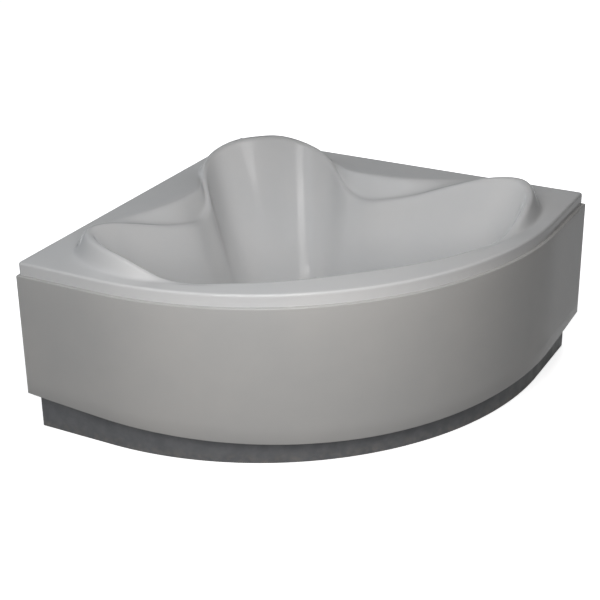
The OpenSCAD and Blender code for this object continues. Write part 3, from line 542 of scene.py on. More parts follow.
# Painted light and shade: the shell and the panel are one white acrylic. The shell's lighter colour
# is painted light for the brighter basin, and the panel's darker colour is painted shade.
SHELL_ACRYLIC_PAINTED_LIGHT = make_acrylic("drawn_acrylic", shade(224, 224, 224), shade(219, 220, 221), 0.09)
PANEL_ACRYLIC_PAINTED_SHADE = make_acrylic("panel_acrylic", shade(195, 194, 192), shade(189, 189, 188), 0.16)
# Painted shade: the plinth's dark grey stands for the shade that the panel casts on the recessed
# plinth. Its wear and dust are its own.
PLINTH_PAINTED_SHADE = make_plastic("plinth_board", shade(122, 124, 127), shade(110, 112, 116), 0.4)
FIBRE = make_fibre_backing()
BOARD = make_board_wood()
BATTEN = make_batten_wood()
FRAME_STEEL = make_powder_coat()
ZINC = make_zinc()
CHROME = make_chrome()
MAGNET = make_magnet()
BLACK_PLASTIC = make_plastic("black_moulding", shade(40, 40, 42), shade(30, 30, 32), 0.5)
RUBBER = make_plastic("black_rubber", shade(34, 34, 34), shade(26, 26, 27), 0.7, 0.0008)
WHITE_PLASTIC = make_plastic("white_moulding", shade(224, 224, 220), shade(212, 212, 206), 0.35)
HOSE_PLASTIC = make_plastic("hose_moulding", shade(190, 192, 192), shade(176, 178, 180), 0.4)
CABLE_PLASTIC = make_plastic("cable_sleeve", shade(72, 74, 78), shade(60, 62, 66), 0.5)


# Pieces

def finished(piece, *materials, body="bath", slot=None, instead_of=()):
    """Puts the finish on a piece, lets it ride on its body and stand for its CAD nodes."""
    piece.data.materials.clear()
    for m in materials:
        piece.data.materials.append(m)
    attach(piece, body)
    if instead_of:
        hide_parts(*instead_of)


def smooth(piece, sharp):
    """Shades a piece smooth but for edges sharper than the given angle."""
    piece.data.shade_smooth()
    piece.data.set_sharp_from_angle(angle=math.radians(sharp))
    return piece


def new_piece(name, points, faces, sharp=35.0):
    """A mesh piece from points in metres."""
    mesh = bpy.data.meshes.new(name)
    mesh.from_pydata([tuple(p) for p in points], [], [tuple(f) for f in faces])
    mesh.validate()
    mesh.update()
    return smooth(set_out(name, mesh), sharp)


def piece_of(name, work):
    """A piece of what a bmesh holds. The bmesh is freed."""
    mesh = bpy.data.meshes.new(name)
    work.to_mesh(mesh)
    work.free()
    return set_out(name, mesh)


def settle(piece):
    """Turns a piece with modifiers into its plain mesh."""
    bpy.context.view_layer.update()
    graph = bpy.context.evaluated_depsgraph_get()
    mesh = bpy.data.meshes.new_from_object(piece.evaluated_get(graph))
    piece.modifiers.clear()
    piece.data = mesh


def carved(piece, tool, operation="DIFFERENCE"):
    """Cuts the tool out of the piece for good, and removes the tool."""
    cut = piece.modifiers.new("cut", "BOOLEAN")
    cut.operation = operation
    cut.solver = "EXACT"
    cut.object = tool
    settle(piece)
    bpy.data.objects.remove(tool)
    return piece


def faces_outwards(piece):
    """Turns all faces out if the closed mesh has a negative volume."""
    work = bmesh.new()
    work.from_mesh(piece.data)
    if work.calc_volume(signed=True) < 0:
        bmesh.ops.reverse_faces(work, faces=work.faces)
        work.to_mesh(piece.data)
    work.free()
    return piece


# Shell: one smooth skin over the stations, with its lip, rolled edge, floor and backing

# Angles round the basin in degrees, sizes in millimetres, and how many rows each stretch has
STATION_STEP, STATION_EASE, STATION_REACH = 0.25, 1.6, 24
SECTION_STEP, SECTION_EASE, SECTION_REACH = 2.0, 5.0, 10
RIM_CORNER, CORNER_TURN, CORNER_POINTS, RIM_STEP = 12.0, math.radians(20), 10, 0.5
COLUMN_STEP, CORNER_STEP, CORNER_SPREAD, LEAST_STEP = 0.9, 0.1, 0.55, 0.045
LIP_ROWS, EDGE_ROWS, STRETCH_POINTS, BLEND_ROWS, DECK_LEAST = (0, 1.5, 12, 26), 7, 60, 9, 3
DECK_ROWS, SLOPE_ROWS, ROLL_ROWS, WALL_ROWS, TOE_ROWS, FLOOR_ROWS = 7, 20, 12, 16, 12, 9
BACKING_SEED, BACKING_ROUGH, BACKING_ROUNDS, BACKING_EVEN = 11, 1.1, 3, 4


def heading_of(angles):
    """The way from the basin's centre at these angles, which count from the wall corner."""
    return -np.stack([np.cos(np.radians(angles)), np.sin(np.radians(angles))], 1)


def bell(count, step, width):
    """Offsets of so many steps to each side and their weights in a soft average."""
    reach = np.arange(-count, count + 1)
    weight = np.exp(-0.5 * (reach * step / width) ** 2)
    return reach, weight / weight.sum()


def softened_stations(angles):
    """The stations' curves at these angles, eased so that no kink shows in the gloss."""
    fine = np.arange(0, 360, STATION_STEP)
    at = np.minimum(fine, 360 - fine)
    a, table = STATIONS[:, 0], STATIONS[:, 1:]
    i = np.clip(np.searchsorted(a, at, side="right") - 1, 0, len(a) - 2)
    slope = np.zeros_like(table)
    slope[1:-1] = (table[2:] - table[:-2]) / (a[2:] - a[:-2])[:, None]
    d = (a[i + 1] - a[i])[:, None]
    t = ((at - a[i]) / (a[i + 1] - a[i]))[:, None]
    curve = (table[i] * (1 + 2 * t) * (1 - t) ** 2 + slope[i] * d * t * (1 - t) ** 2
             + table[i + 1] * t ** 2 * (3 - 2 * t) + slope[i + 1] * d * t ** 2 * (t - 1))
    soft = sum(w * np.roll(curve, r, axis=0)
               for r, w in zip(*bell(STATION_REACH, STATION_STEP, STATION_EASE)))
    soft[:, 1] *= np.abs(curve[:, 1]).max() / np.abs(soft[:, 1]).max()
    where = np.mod(angles, 360) / STATION_STEP
    k = np.floor(where).astype(int)
    f = (where - k)[:, None]
    return soft[k % len(fine)] * (1 - f) + soft[(k + 1) % len(fine)] * f


def eased_corner(q, before, after, corner):
    """The points of an arc in a corner, or the corner itself where the line hardly turns."""
    u, v = unit(before - q), unit(after - q)
    turn = math.acos(np.clip(-u @ v, -1, 1))
    if turn < CORNER_TURN:
        return [q]
    back = corner * math.tan(turn / 2)
    middle = q + unit(u + v) * corner / math.cos(turn / 2)
    one, two = q + u * back - middle, q + v * back - middle
    start = math.atan2(one[1], one[0])
    sweep = math.atan2(one[0] * two[1] - one[1] * two[0], one @ two)
    at = [start + sweep * n / CORNER_POINTS for n in range(CORNER_POINTS + 1)]
    return [middle + corner * np.array([math.cos(a), math.sin(a)]) for a in at]


def rim_outline(angles):
    """The rim's outer edge, its corners eased: points from the basin's centre, inward normals."""
    s = math.sqrt(0.5)
    half = [np.zeros(2), np.array([RIM_SIDE * s, RIM_SIDE * s])]
    half += [np.array([ARC_P + ARC_R * math.cos(t), ARC_R * math.sin(t)])
             for t in np.radians(np.arange(45, -0.01, -RIM_STEP))]
    line = half + [q * [1, -1] for q in half[-2:0:-1]]
    eased = []
    for k, q in enumerate(line):
        eased += eased_corner(q, line[k - 1], line[(k + 1) % len(line)], RIM_CORNER)
    rel = np.array(eased) - [BASIN_P, 0]
    at = np.mod(np.degrees(np.arctan2(-rel[:, 1], -rel[:, 0])), 360)
    order = np.argsort(at)
    at, rel = at[order], rel[order]
    at = np.concatenate([[at[-1] - 360], at, [at[0] + 360]])
    rel = np.concatenate([rel[-1:], rel, rel[:1]])
    i = np.clip(np.searchsorted(at, angles, side="right") - 1, 0, len(at) - 2)
    p, edge, way = rel[i], rel[i + 1] - rel[i], heading_of(angles)
    t = ((p[:, 0] * way[:, 1] - p[:, 1] * way[:, 0])
         / (edge[:, 1] * way[:, 0] - edge[:, 0] * way[:, 1]))
    points = p + edge * t[:, None]
    normal = unit(np.stack([-edge[:, 1], edge[:, 0]], 1))
    normal *= np.where((normal * points).sum(1) > 0, -1, 1)[:, None]
    return points, normal


def shell_columns():
    """The angles of the shell's columns, closer together at the rim's corners."""
    side = RIM_SIDE / math.sqrt(2)
    corner = math.degrees(math.atan2(side, BASIN_P - side))
    near = np.arange(-CORNER_SPREAD, CORNER_SPREAD + 0.01, CORNER_STEP)
    grid = np.concatenate([np.arange(0, 360, COLUMN_STEP), near % 360, corner + near,
                           360 - corner + near])
    keep = []
    for g in np.unique(np.round(grid, 4)):
        if not keep or g - keep[-1] > LEAST_STEP:
            keep.append(g)
    return np.array(keep)


def ray(r, z):
    """Points of a section, as distance from the basin's centre and height."""
    return np.stack([r, np.broadcast_to(z, r.shape)], axis=-1)


def eased_section(line, way, counts, length):
    """One section eased along its run and read at even steps of each of its stretches."""
    far = np.concatenate([[0], np.cumsum(np.hypot(*np.diff(line, axis=0).T) + 1e-6)])
    even = np.arange(0, far[-1], SECTION_STEP)
    weight = bell(SECTION_REACH, SECTION_STEP, SECTION_EASE)[1]
    steps = [np.linspace(far[k * length], far[(k + 1) * length - 1], count, endpoint=False)
             for k, count in enumerate(counts)]
    steps = np.append(np.concatenate(steps)[1:], far[-1])
    read = []
    for values in line.T:
        values = np.pad(np.interp(even, far, values), SECTION_REACH, mode="reflect",
                        reflect_type="odd")
        read.append(np.interp(steps, even, np.convolve(values, weight, "valid")))
    read[0][-1], read[1][-1] = DRAIN_R, FLOOR_Z
    return np.concatenate([way * read[0][:, None], read[1][:, None]], axis=1)


def shell_upper(angles):
    """Rows of the shell's upper face for each angle, from the lip's lower edge to the drain hole,
    and how many of them are lip and rolled edge."""
    edge, inward = rim_outline(angles)
    crest, rise, slope_w, foot = softened_stations(angles).T
    way = heading_of(angles)
    base = np.minimum(crest + slope_w, np.linalg.norm(edge, axis=1) - RIM_EDGE - DECK_LEAST)
    dx, dz = crest - foot, BASIN_DEPTH + rise - ROLL_R
    lean = np.arctan2(dx, dz) - np.arcsin(ROLL_R / np.hypot(dx, dz))
    floor_at = foot + FLOOR_R * np.tan(lean) - FLOOR_R / np.cos(lean)

    rows = [(edge, LIP_Z + up) for up in LIP_ROWS]
    rows += [(edge + inward * RIM_EDGE * (1 - math.cos(v)), RIM_H - RIM_EDGE * (1 - math.sin(v)))
             for v in np.radians(np.linspace(0, 90, EDGE_ROWS))]
    outer = np.stack([np.column_stack([flat, np.full(len(flat), z)]) for flat, z in rows], axis=1)

    # The rest is drawn fine in stretches: deck, slope, roll, wall, floor's radius and floor
    start = edge + inward * RIM_EDGE
    radius = np.linalg.norm(start, axis=1)
    t = np.linspace(0, 1, STRETCH_POINTS)[None, :]
    lift = RIM_H + rise[:, None] * t ** 2 * (3 - 2 * t)
    over = (np.pi / 2 - lean)[:, None] * t
    top = RIM_H + rise[:, None]
    hip = ray(crest - ROLL_R * np.cos(lean), RIM_H + rise - ROLL_R + ROLL_R * np.sin(lean))
    toe = ray(floor_at + FLOOR_R * np.cos(lean), FLOOR_Z + FLOOR_R - FLOOR_R * np.sin(lean))
    under = lean[:, None] + over
    stretches = [
        (DECK_ROWS, ray(radius[:, None] + (base - radius)[:, None] * t, RIM_H)),
        (SLOPE_ROWS, ray(base[:, None] + (crest - base)[:, None] * t, lift)),
        (ROLL_ROWS, ray(crest[:, None] - ROLL_R * np.sin(over),
                        top - ROLL_R * (1 - np.cos(over)))),
        (WALL_ROWS, hip[:, None, :] + (toe - hip)[:, None, :] * t[..., None]),
        (TOE_ROWS, ray(floor_at[:, None] + FLOOR_R * np.cos(under),
                       FLOOR_Z + FLOOR_R * (1 - np.sin(under)))),
        (FLOOR_ROWS, ray(floor_at[:, None] + (DRAIN_R - floor_at)[:, None] * t, FLOOR_Z)),
    ]
    counts = [count for count, _ in stretches]
    whole = np.concatenate([line for _, line in stretches], axis=1)
    inner = np.stack([eased_section(line, one, counts, t.size) for line, one in zip(whole, way)])
    # The first rows start where the rolled edge ends and ease over to the ray from the centre
    aside = start - way * radius[:, None]
    for k, share in enumerate(np.cos(np.linspace(0, np.pi / 2, BLEND_ROWS))[1:]):
        inner[:, k, :2] += aside * share
    return np.concatenate([outer, inner], axis=1), len(rows)


def grid_normals(grid):
    """The normals of a grid of rows round the basin, upwards at the floor."""
    round_step = np.roll(grid, -1, axis=0) - np.roll(grid, 1, axis=0)
    in_step = np.empty_like(grid)
    in_step[:, 1:-1] = grid[:, 2:] - grid[:, :-2]
    in_step[:, 0], in_step[:, -1] = grid[:, 1] - grid[:, 0], grid[:, -1] - grid[:, -2]
    normal = unit(np.cross(round_step, in_step))
    return -normal if normal[:, -1, 2].mean() < 0 else normal


def shell_backing(grid, fixed):
    """The backing under the upper face: hand laid, a little uneven, its tight radii eased."""
    n, m = grid.shape[:2]
    normal = grid_normals(grid)
    under = grid - SHELL_T * normal
    under[:, -1] = grid[:, -1] - [0, 0, SHELL_T]
    for _ in range(BACKING_ROUNDS):
        under[:, fixed:-2] = (0.5 * under[:, fixed:-2]
                              + 0.25 * (under[:, fixed - 1:-3] + under[:, fixed + 1:-1]))
    rough = np.random.default_rng(BACKING_SEED).normal(0, 1, (n, m))
    for _ in range(BACKING_ROUNDS):
        rough = (rough + np.roll(rough, 1, 0) + np.roll(rough, -1, 0) + np.roll(rough, 1, 1)
                 + np.roll(rough, -1, 1)) / 5
    rough[:, :fixed] = 0
    rough[:, -BACKING_EVEN:] = 0
    return under + normal * (np.clip(rough, -1, 1) * BACKING_ROUGH)[..., None]


def make_shell():
    grid, fixed = shell_upper(shell_columns())
    n, m = grid.shape[:2]
    points = np.concatenate([grid.reshape(-1, 3), shell_backing(grid, fixed).reshape(-1, 3)])
    points = room(points[:, 0] + BASIN_P, points[:, 1], points[:, 2])
    faces, backing = [], []
    low = n * m
    for i in range(n):
        a, b = i * m, (i + 1) % n * m
        for j in range(m - 1):
            faces.append((a + j, b + j, b + j + 1, a + j + 1))
            faces.append((low + a + j, low + a + j + 1, low + b + j + 1, low + b + j))
        faces.append((a, low + a, low + b, b))
        faces.append((a + m - 1, b + m - 1, low + b + m - 1, low + a + m - 1))
        backing += [0, 1] * (m - 1) + [0, 0]
    piece = new_piece("moulded_shell", points, faces, 40)
    piece.data.polygons.foreach_set("material_index", np.array(backing, np.int32))
    return faces_outwards(carved(piece, overflow_drill()))


OVERFLOW_P, OVERFLOW_Z, OVERFLOW_LEAN = 1366.096, 505.0, math.radians(6.454)
DRILL_R, DRILL_SIDES, DRILL_LENGTH = OVERFLOW_R / 1000, 72, 0.06


def overflow_turn():
    """Z to the overflow's axis, about its centre."""
    flat = math.cos(OVERFLOW_LEAN) * math.sqrt(0.5)
    axis = Vector((-flat, flat, math.sin(OVERFLOW_LEAN)))
    at = Vector(room(OVERFLOW_P, 0, OVERFLOW_Z))
    return Matrix.Translation(at) @ axis.to_track_quat("Z", "Y").to_matrix().to_4x4()


def overflow_drill():
    work = bmesh.new()
    bmesh.ops.create_cone(work, cap_ends=True, segments=DRILL_SIDES, radius1=DRILL_R,
                          radius2=DRILL_R, depth=DRILL_LENGTH, matrix=overflow_turn())
    return piece_of("drill", work)


finished(make_shell(), SHELL_ACRYLIC_PAINTED_LIGHT, FIBRE, slot="acrylic", instead_of=["tub_shell"])


# Front panel and plinth: profiles swept along the right return, the arc and the left return

PATH_STEP, RETURN_STEPS, PROFILE_STEPS, PLINTH_STEPS = 0.75, 16, 8, 6
TOE_R, FLANGE_BEVEL, PLINTH_BEVEL, PLINTH_OVERLAP, PLINTH_INSET = 1.2, 0.8, 0.8, 10.0, 15.0
TOE_MID, ROOT_R, ROOT_MID, TOP_TURN, PANEL_INSET = 0.35, 3, 0.9, 11.25, 0.2


def front_path(radius, run):
    """Plan points and outward normals from one end of the front to the other."""
    u = np.array([math.cos(math.radians(45)), math.sin(math.radians(45))])
    along = np.array([-u[1], u[0]])
    near = [(u * radius + along * s, u) for s in np.linspace(run, 0, RETURN_STEPS, endpoint=False)]
    bow = [np.array([math.cos(a), math.sin(a)])
           for a in np.radians(np.arange(45, -45.001, -PATH_STEP))]
    far = [(q * [1, -1], v * [1, -1]) for q, v in reversed(near)]
    points, normals = zip(*near, *[(v * radius, v) for v in bow], *far)
    return np.array(points) + [ARC_P, 0], np.array(normals)


def swept(name, profiles, points, normals):
    """A closed profile at each plan point, as distance out and height, joined into one solid."""
    n, m = len(points), len(profiles[0])
    flat = np.array([points[i] + normals[i] * q[0] for i in range(n) for q in profiles[i]])
    verts = room(flat[:, 0], flat[:, 1], np.array([q[1] for profile in profiles for q in profile]))
    faces = [(i * m + j, i * m + (j + 1) % m, (i + 1) * m + (j + 1) % m, (i + 1) * m + j)
             for i in range(n - 1) for j in range(m)]
    faces += [tuple(range(m - 1, -1, -1)), tuple((n - 1) * m + j for j in range(m))]
    return faces_outwards(new_piece(name, verts, faces))


def arch_rise(w):
    """How far the panel's lower edge has risen this far from the middle of the front."""
    half = PANEL_R * math.sin(math.radians(45))
    arch_r = half * half / (2 * PANEL_ARCH) + PANEL_ARCH / 2
    return arch_r - math.sqrt(arch_r ** 2 - w ** 2)


def make_panel():
    points, normals = front_path(PANEL_R, RIM_RETURN - PANEL_INSET)
    t, e, f, z = PANEL_T, TOE_R, PANEL_FLANGE, PANEL_Z
    shares = [k / PROFILE_STEPS for k in range(1, PROFILE_STEPS + 1)]
    top = [(-t + t * math.cos(v), z - t + t * math.sin(v))
           for v in np.radians(np.arange(TOP_TURN, 90.1, TOP_TURN))]
    flange = [(-f + FLANGE_BEVEL, z), (-f, z - FLANGE_BEVEL), (-f, z - t + FLANGE_BEVEL),
              (-f + FLANGE_BEVEL, z - t)]
    inner = [(-t - ROOT_R, z - t), (-t - ROOT_MID, z - t - ROOT_MID), (-t, z - t - ROOT_R)]
    profiles = []
    for q in points:
        low = PANEL_GAP + arch_rise(q[1])
        lip = [(-e, low), (-TOE_MID, low + TOE_MID), (0.0, low + e)]
        face = [(0.0, low + e + (z - t - low - e) * k) for k in shares]
        back = [(-t, z - t - ROOT_R + (low + e - z + t + ROOT_R) * k) for k in shares]
        toe = [(-t + TOE_MID, low + TOE_MID), (-t + e, low)]
        profiles.append(lip + face + top + flange + inner + back + toe)
    return swept("bowed_front_panel", profiles, points, normals)


def make_plinth():
    points, normals = front_path(PLINTH_R, RIM_RETURN - PLINTH_INSET)
    height = PANEL_GAP + arch_rise((RIM_SIDE + PANEL_PROUD) / math.sqrt(2)) + PLINTH_OVERLAP
    t, e = PLINTH_T, PLINTH_BEVEL
    face = [(0, e + (height - 2 * e) * k / PLINTH_STEPS) for k in range(1, PLINTH_STEPS + 1)]
    profile = [(-e, 0), (0, e)] + face + [(-e, height), (-t + e, height), (-t, height - e),
                                          (-t, e), (-t + e, 0)]
    return swept("recessed_plinth", [profile] * len(points), points, normals)


finished(make_panel(), PANEL_ACRYLIC_PAINTED_SHADE, slot="panel_acrylic", instead_of=["front_panel"])
finished(make_plinth(), PLINTH_PAINTED_SHADE, slot="plinth", instead_of=["plinth"])


# Geometry trees for what repeats or follows a path. Each starts from the piece's own mesh

def growth(name, **takes):
    return group(name, "GeometryNodeTree", Geometry="Geometry", **takes, Finish="Material")


def end_growth(tree, take, geometry):
    """Closes a tree with Realize Instances and Set Material."""
    whole = place(tree, "GeometryNodeRealizeInstances", Geometry=geometry)
    coat = place(tree, "GeometryNodeSetMaterial", Geometry=whole.outputs["Geometry"],
                 Material=take["Finish"])
    return gives(tree, Geometry=coat.outputs["Geometry"])


def grown(piece, tree, **values):
    """Runs a tree on the piece with these inputs and keeps the result as its plain mesh."""
    step = piece.modifiers.new(tree.name, "NODES")
    step.node_group = tree
    for item in tree.interface.items_tree:
        key = item.name.replace(" ", "_")
        if item.in_out == "INPUT" and key in values:
            step[item.identifier] = values[key]
    settle(piece)
    return piece


def line_and_circle(tree, take, step):
    """The piece's edges as curves with even steps, and the circle to be swept along them."""
    line = place(tree, "GeometryNodeMeshToCurve", Mesh=take["Geometry"]).outputs["Curve"]
    even = place(tree, "GeometryNodeResampleCurve", mode="LENGTH", Curve=line, Length=step)
    circle = place(tree, "GeometryNodeCurvePrimitiveCircle", Resolution=take["Sides"],
                   Radius=take["Radius"])
    return even.outputs["Curve"], circle.outputs["Curve"]


def stood(tree, take, geometry):
    """Moves the geometry to its stand and closes the tree."""
    stand = place(tree, "GeometryNodeTransform", Geometry=geometry, Translation=take["Stand"])
    return end_growth(tree, take, stand.outputs["Geometry"])


def set_on(tree, points, fixing, angles):
    """The fixing on each point, turned by these angles."""
    turn = place(tree, "FunctionNodeEulerToRotation", Euler=angles).outputs[0]
    return place(tree, "GeometryNodeInstanceOnPoints", Points=points, Instance=fixing,
                 Rotation=turn).outputs["Instances"]


def make_tube_on_path():
    """A round tube along the piece's edges, whose radius swells at each rib."""
    tree, take = growth("tube_on_path", Radius=0.01, Sides=24, Step=0.001, Rib_Depth=0.0,
                        Rib_Pitch=0.01, Capped=True)
    line, circle = line_and_circle(tree, take, take["Step"])
    far = place(tree, "GeometryNodeSplineParameter").outputs["Length"]
    turns = maths(tree, "DIVIDE", far, take["Rib Pitch"])
    swell = maths(tree, "COSINE", times(tree, turns, 2 * math.pi), 0.0)
    low = maths(tree, "SUBTRACT", 0.5, times(tree, swell, 0.62), True)
    share = maths(tree, "DIVIDE", take["Rib Depth"], take["Radius"])
    tube = place(tree, "GeometryNodeCurveToMesh", Curve=line, Profile_Curve=circle,
                 Scale=maths(tree, "SUBTRACT", 1.0, times(tree, low, share)),
                 Fill_Caps=take["Capped"])
    return end_growth(tree, take, tube.outputs["Mesh"])


def make_thread():
    """Cuts a screw thread into an upright rod that stands on the piece's own axis."""
    tree, take = growth("screw_thread", Radius=0.006, Depth=0.0008, Pitch=0.00175, Sides=24,
                        Stand=(0.0, 0.0, 0.0))
    line, circle = line_and_circle(tree, take, times(tree, take["Pitch"], 0.25))
    rod = place(tree, "GeometryNodeCurveToMesh", Curve=line, Profile_Curve=circle, Fill_Caps=True)
    here = place(tree, "GeometryNodeInputPosition").outputs["Position"]
    x, y, z = place(tree, "ShaderNodeSeparateXYZ", Vector=here).outputs
    angle = maths(tree, "DIVIDE", maths(tree, "ARCTAN2", y, x), 2 * math.pi)
    phase = maths(tree, "SUBTRACT", maths(tree, "DIVIDE", z, take["Pitch"]), angle)
    flank = maths(tree, "PINGPONG", times(tree, phase, 2.0), 1.0)
    share = maths(tree, "DIVIDE", take["Depth"], take["Radius"])
    inward = times(tree, times(tree, flank, share), -1.0)
    shift = row(tree, "ShaderNodeCombineXYZ", times(tree, x, inward), times(tree, y, inward))
    cut = place(tree, "GeometryNodeSetPosition", Geometry=rod.outputs["Mesh"], Offset=shift)
    return stood(tree, take, cut.outputs["Geometry"])


def make_ring_of():
    """Repeats the piece's mesh round an upright axis through the origin."""
    tree, take = growth("ring_of", Count=8, Stand=(0.0, 0.0, 0.0))
    points = place(tree, "GeometryNodePoints", Count=take["Count"]).outputs[0]
    number = place(tree, "GeometryNodeInputIndex").outputs["Index"]
    part = maths(tree, "DIVIDE", 2 * math.pi, take["Count"])
    spin = place(tree, "ShaderNodeCombineXYZ", Z=times(tree, number, part)).outputs[0]
    return stood(tree, take, set_on(tree, points, take["Geometry"], spin))


def make_fixings():
    """Sets a fixing on each point of the piece, turned as the point's own angles say."""
    tree, take = growth("fixings_on_points", Fixing="Object")
    fixing = place(tree, "GeometryNodeObjectInfo", Object=take["Fixing"]).outputs["Geometry"]
    angles = place(tree, "GeometryNodeInputNamedAttribute", data_type="FLOAT_VECTOR",
                   Name="angles").outputs["Attribute"]
    return end_growth(tree, take, set_on(tree, take["Geometry"], fixing, angles))


TUBE_ON_PATH = make_tube_on_path()
SCREW_THREAD = make_thread()
RING_OF = make_ring_of()
FIXINGS = make_fixings()


def paths(name, lines, closed=False):
    """A piece of bare edges, one run of them for each list of points in metres."""
    points, edges = [], []
    for line in lines:
        first = len(points)
        points += [tuple(q) for q in line]
        edges += [(first + i, first + i + 1) for i in range(len(line) - 1)]
        if closed:
            edges.append((first + len(line) - 1, first))
    mesh = bpy.data.meshes.new(name)
    mesh.from_pydata(points, edges, [])
    return set_out(name, mesh)


# Turned pieces

def fillet(points, sizes, steps):
    """Rounds the corners of an open outline, each by its own size. A size of 0 keeps a corner."""
    out = [points[0]]
    points = [np.array(q, float) for q in points]
    for before, q, after, size in zip(points, points[1:], points[2:], sizes[1:]):
        if size == 0:
            out.append(tuple(q))
            continue
        one, two = before - q, after - q
        back = min(size, np.linalg.norm(one) * 0.45, np.linalg.norm(two) * 0.45)
        a, c = q + unit(one) * back, q + unit(two) * back
        out += [tuple(a * (1 - t) ** 2 + q * 2 * t * (1 - t) + c * t ** 2)
                for t in np.linspace(0, 1, steps + 1)]
    return out + [tuple(points[-1])]


def turned_mesh(outline, sides, wave=None, closed=False):
    """Points and faces of an outline of radius and height turned about Z. A wave is the share of
    its radius that a point keeps."""
    points, faces, rings = [], [], []
    for r, z in outline:
        first, on_axis = len(points), r < 1e-9
        for k in range(1 if on_axis else sides):
            a = 2 * math.pi * k / sides
            w = r if wave is None or on_axis else r * wave(a, r, z)
            points.append((w * math.cos(a), w * math.sin(a), z))
        rings.append(range(first, len(points)))
    for low, high in zip(rings, rings[1:] + (rings[:1] if closed else [])):
        for k in range(sides):
            n = (k + 1) % sides
            if len(low) == 1 and len(high) > 1:
                faces.append((low[0], high[n], high[k]))
            elif len(high) == 1 and len(low) > 1:
                faces.append((low[k], low[n], high[0]))
            elif len(low) > 1:
                faces.append((low[k], low[n], high[n], high[k]))
    return points, faces


def turned(name, outline, sides, matrix=Matrix(), wave=None, closed=False):
    """A turned piece, its outline in millimetres, put where the matrix says."""
    outline = [(r / 1000, z / 1000) for r, z in outline]
    points, faces = turned_mesh(outline, sides, wave, closed)
    return faces_outwards(new_piece(name, [matrix @ Vector(q) for q in points], faces))


def turned_ring(name, outline, sizes, steps, sides, matrix=Matrix()):
    """A turned ring. Its outline comes back to its first point."""
    return turned(name, fillet(outline, sizes, steps)[:-1], sides, matrix, closed=True)


def joined(name, pieces):
    """One piece from several meshes."""
    work = bmesh.new()
    for one in pieces:
        work.from_mesh(one.data)
        bpy.data.objects.remove(one)
    return smooth(piece_of(name, work), 35)


# Overflow hose and plug cable, on the routes of the CAD: down, round a bend, back to the drain

HOSE = dict(p=OVERFLOW_P + 26.0, w=0, top=448.0, low=90.0, bend=60.0, end=988.07)
CABLE = dict(p=OVERFLOW_P + 30.0, w=24.0, top=464.0, low=98.0, bend=50.0, end=946.07)
HOSE_R, HOSE_WALL, HOSE_RIB, HOSE_PITCH, HOSE_STEP = 0.016, 0.0017, 0.0022, 0.009, 0.0011
CABLE_R, CABLE_RIB, CABLE_PITCH, CABLE_STEP = 0.0025, 0.0003, 0.0018, 0.0006


def route(p, w, top, low, bend, end):
    """Points of a fixed line that runs down, bends and runs back along the diagonal."""
    flat = [(p, z) for z in np.linspace(top, low + bend, 12, endpoint=False)]
    flat += [(p - bend * (1 - math.cos(a)), low + bend * (1 - math.sin(a)))
             for a in np.radians(np.linspace(0, 90, 19))]
    flat += [(x, low) for x in np.linspace(p - bend, end, 14)[1:]]
    return [room(x, w, z) for x, z in flat]


def make_hose():
    piece = grown(paths("ribbed_overflow_hose", [route(**HOSE)]), TUBE_ON_PATH, Radius=HOSE_R,
                  Sides=24, Step=HOSE_STEP, Rib_Depth=HOSE_RIB, Rib_Pitch=HOSE_PITCH, Capped=False,
                  Finish=HOSE_PLASTIC)
    wall = piece.modifiers.new("wall", "SOLIDIFY")
    wall.thickness, wall.offset = HOSE_WALL, -1.0
    settle(piece)
    return smooth(faces_outwards(piece), 50)


def make_cable():
    piece = grown(paths("plug_pull_cable", [route(**CABLE)]), TUBE_ON_PATH, Radius=CABLE_R,
                  Sides=14, Step=CABLE_STEP, Rib_Depth=CABLE_RIB, Rib_Pitch=CABLE_PITCH,
                  Capped=True, Finish=CABLE_PLASTIC)
    return smooth(faces_outwards(piece), 60)


finished(make_hose(), HOSE_PLASTIC, slot="hose_plastic", instead_of=["overflow_hose"])
finished(make_cable(), CABLE_PLASTIC, slot="black_plastic", instead_of=["plug_cable"])


# Levelling feet: threaded rods, chamfered nuts and ribbed pads. Each foot's place is its P and W

FEET = {
    "back": (215.0, 0.0),
    "left": (1050.07, -744.52),
    "right": (1050.07, 744.52),
    "front_left": (1348.87, -250.0),
    "front_right": (1348.87, 250.0),
}
THREAD_PITCH, THREAD_DEPTH, NUT_H, NUT_CORNER, NUT_CHAMFER = 1.75, 0.85, 8.0, 10.5, 1.35
PAD_GROOVES, PAD_RIBS, PAD_RIB_HALF, ROD_FIT = (10, 16, 22), 9, 1.3, 0.15


def make_rod(name, stand):
    rod = paths(name, [[(0, 0, ROD_FOOT / 1000), (0, 0, ROD_TOP / 1000)]])
    grown(rod, SCREW_THREAD, Radius=ROD_R / 1000, Depth=THREAD_DEPTH / 1000,
          Pitch=THREAD_PITCH / 1000, Sides=24, Stand=stand, Finish=ZINC)
    return smooth(faces_outwards(rod), 50)


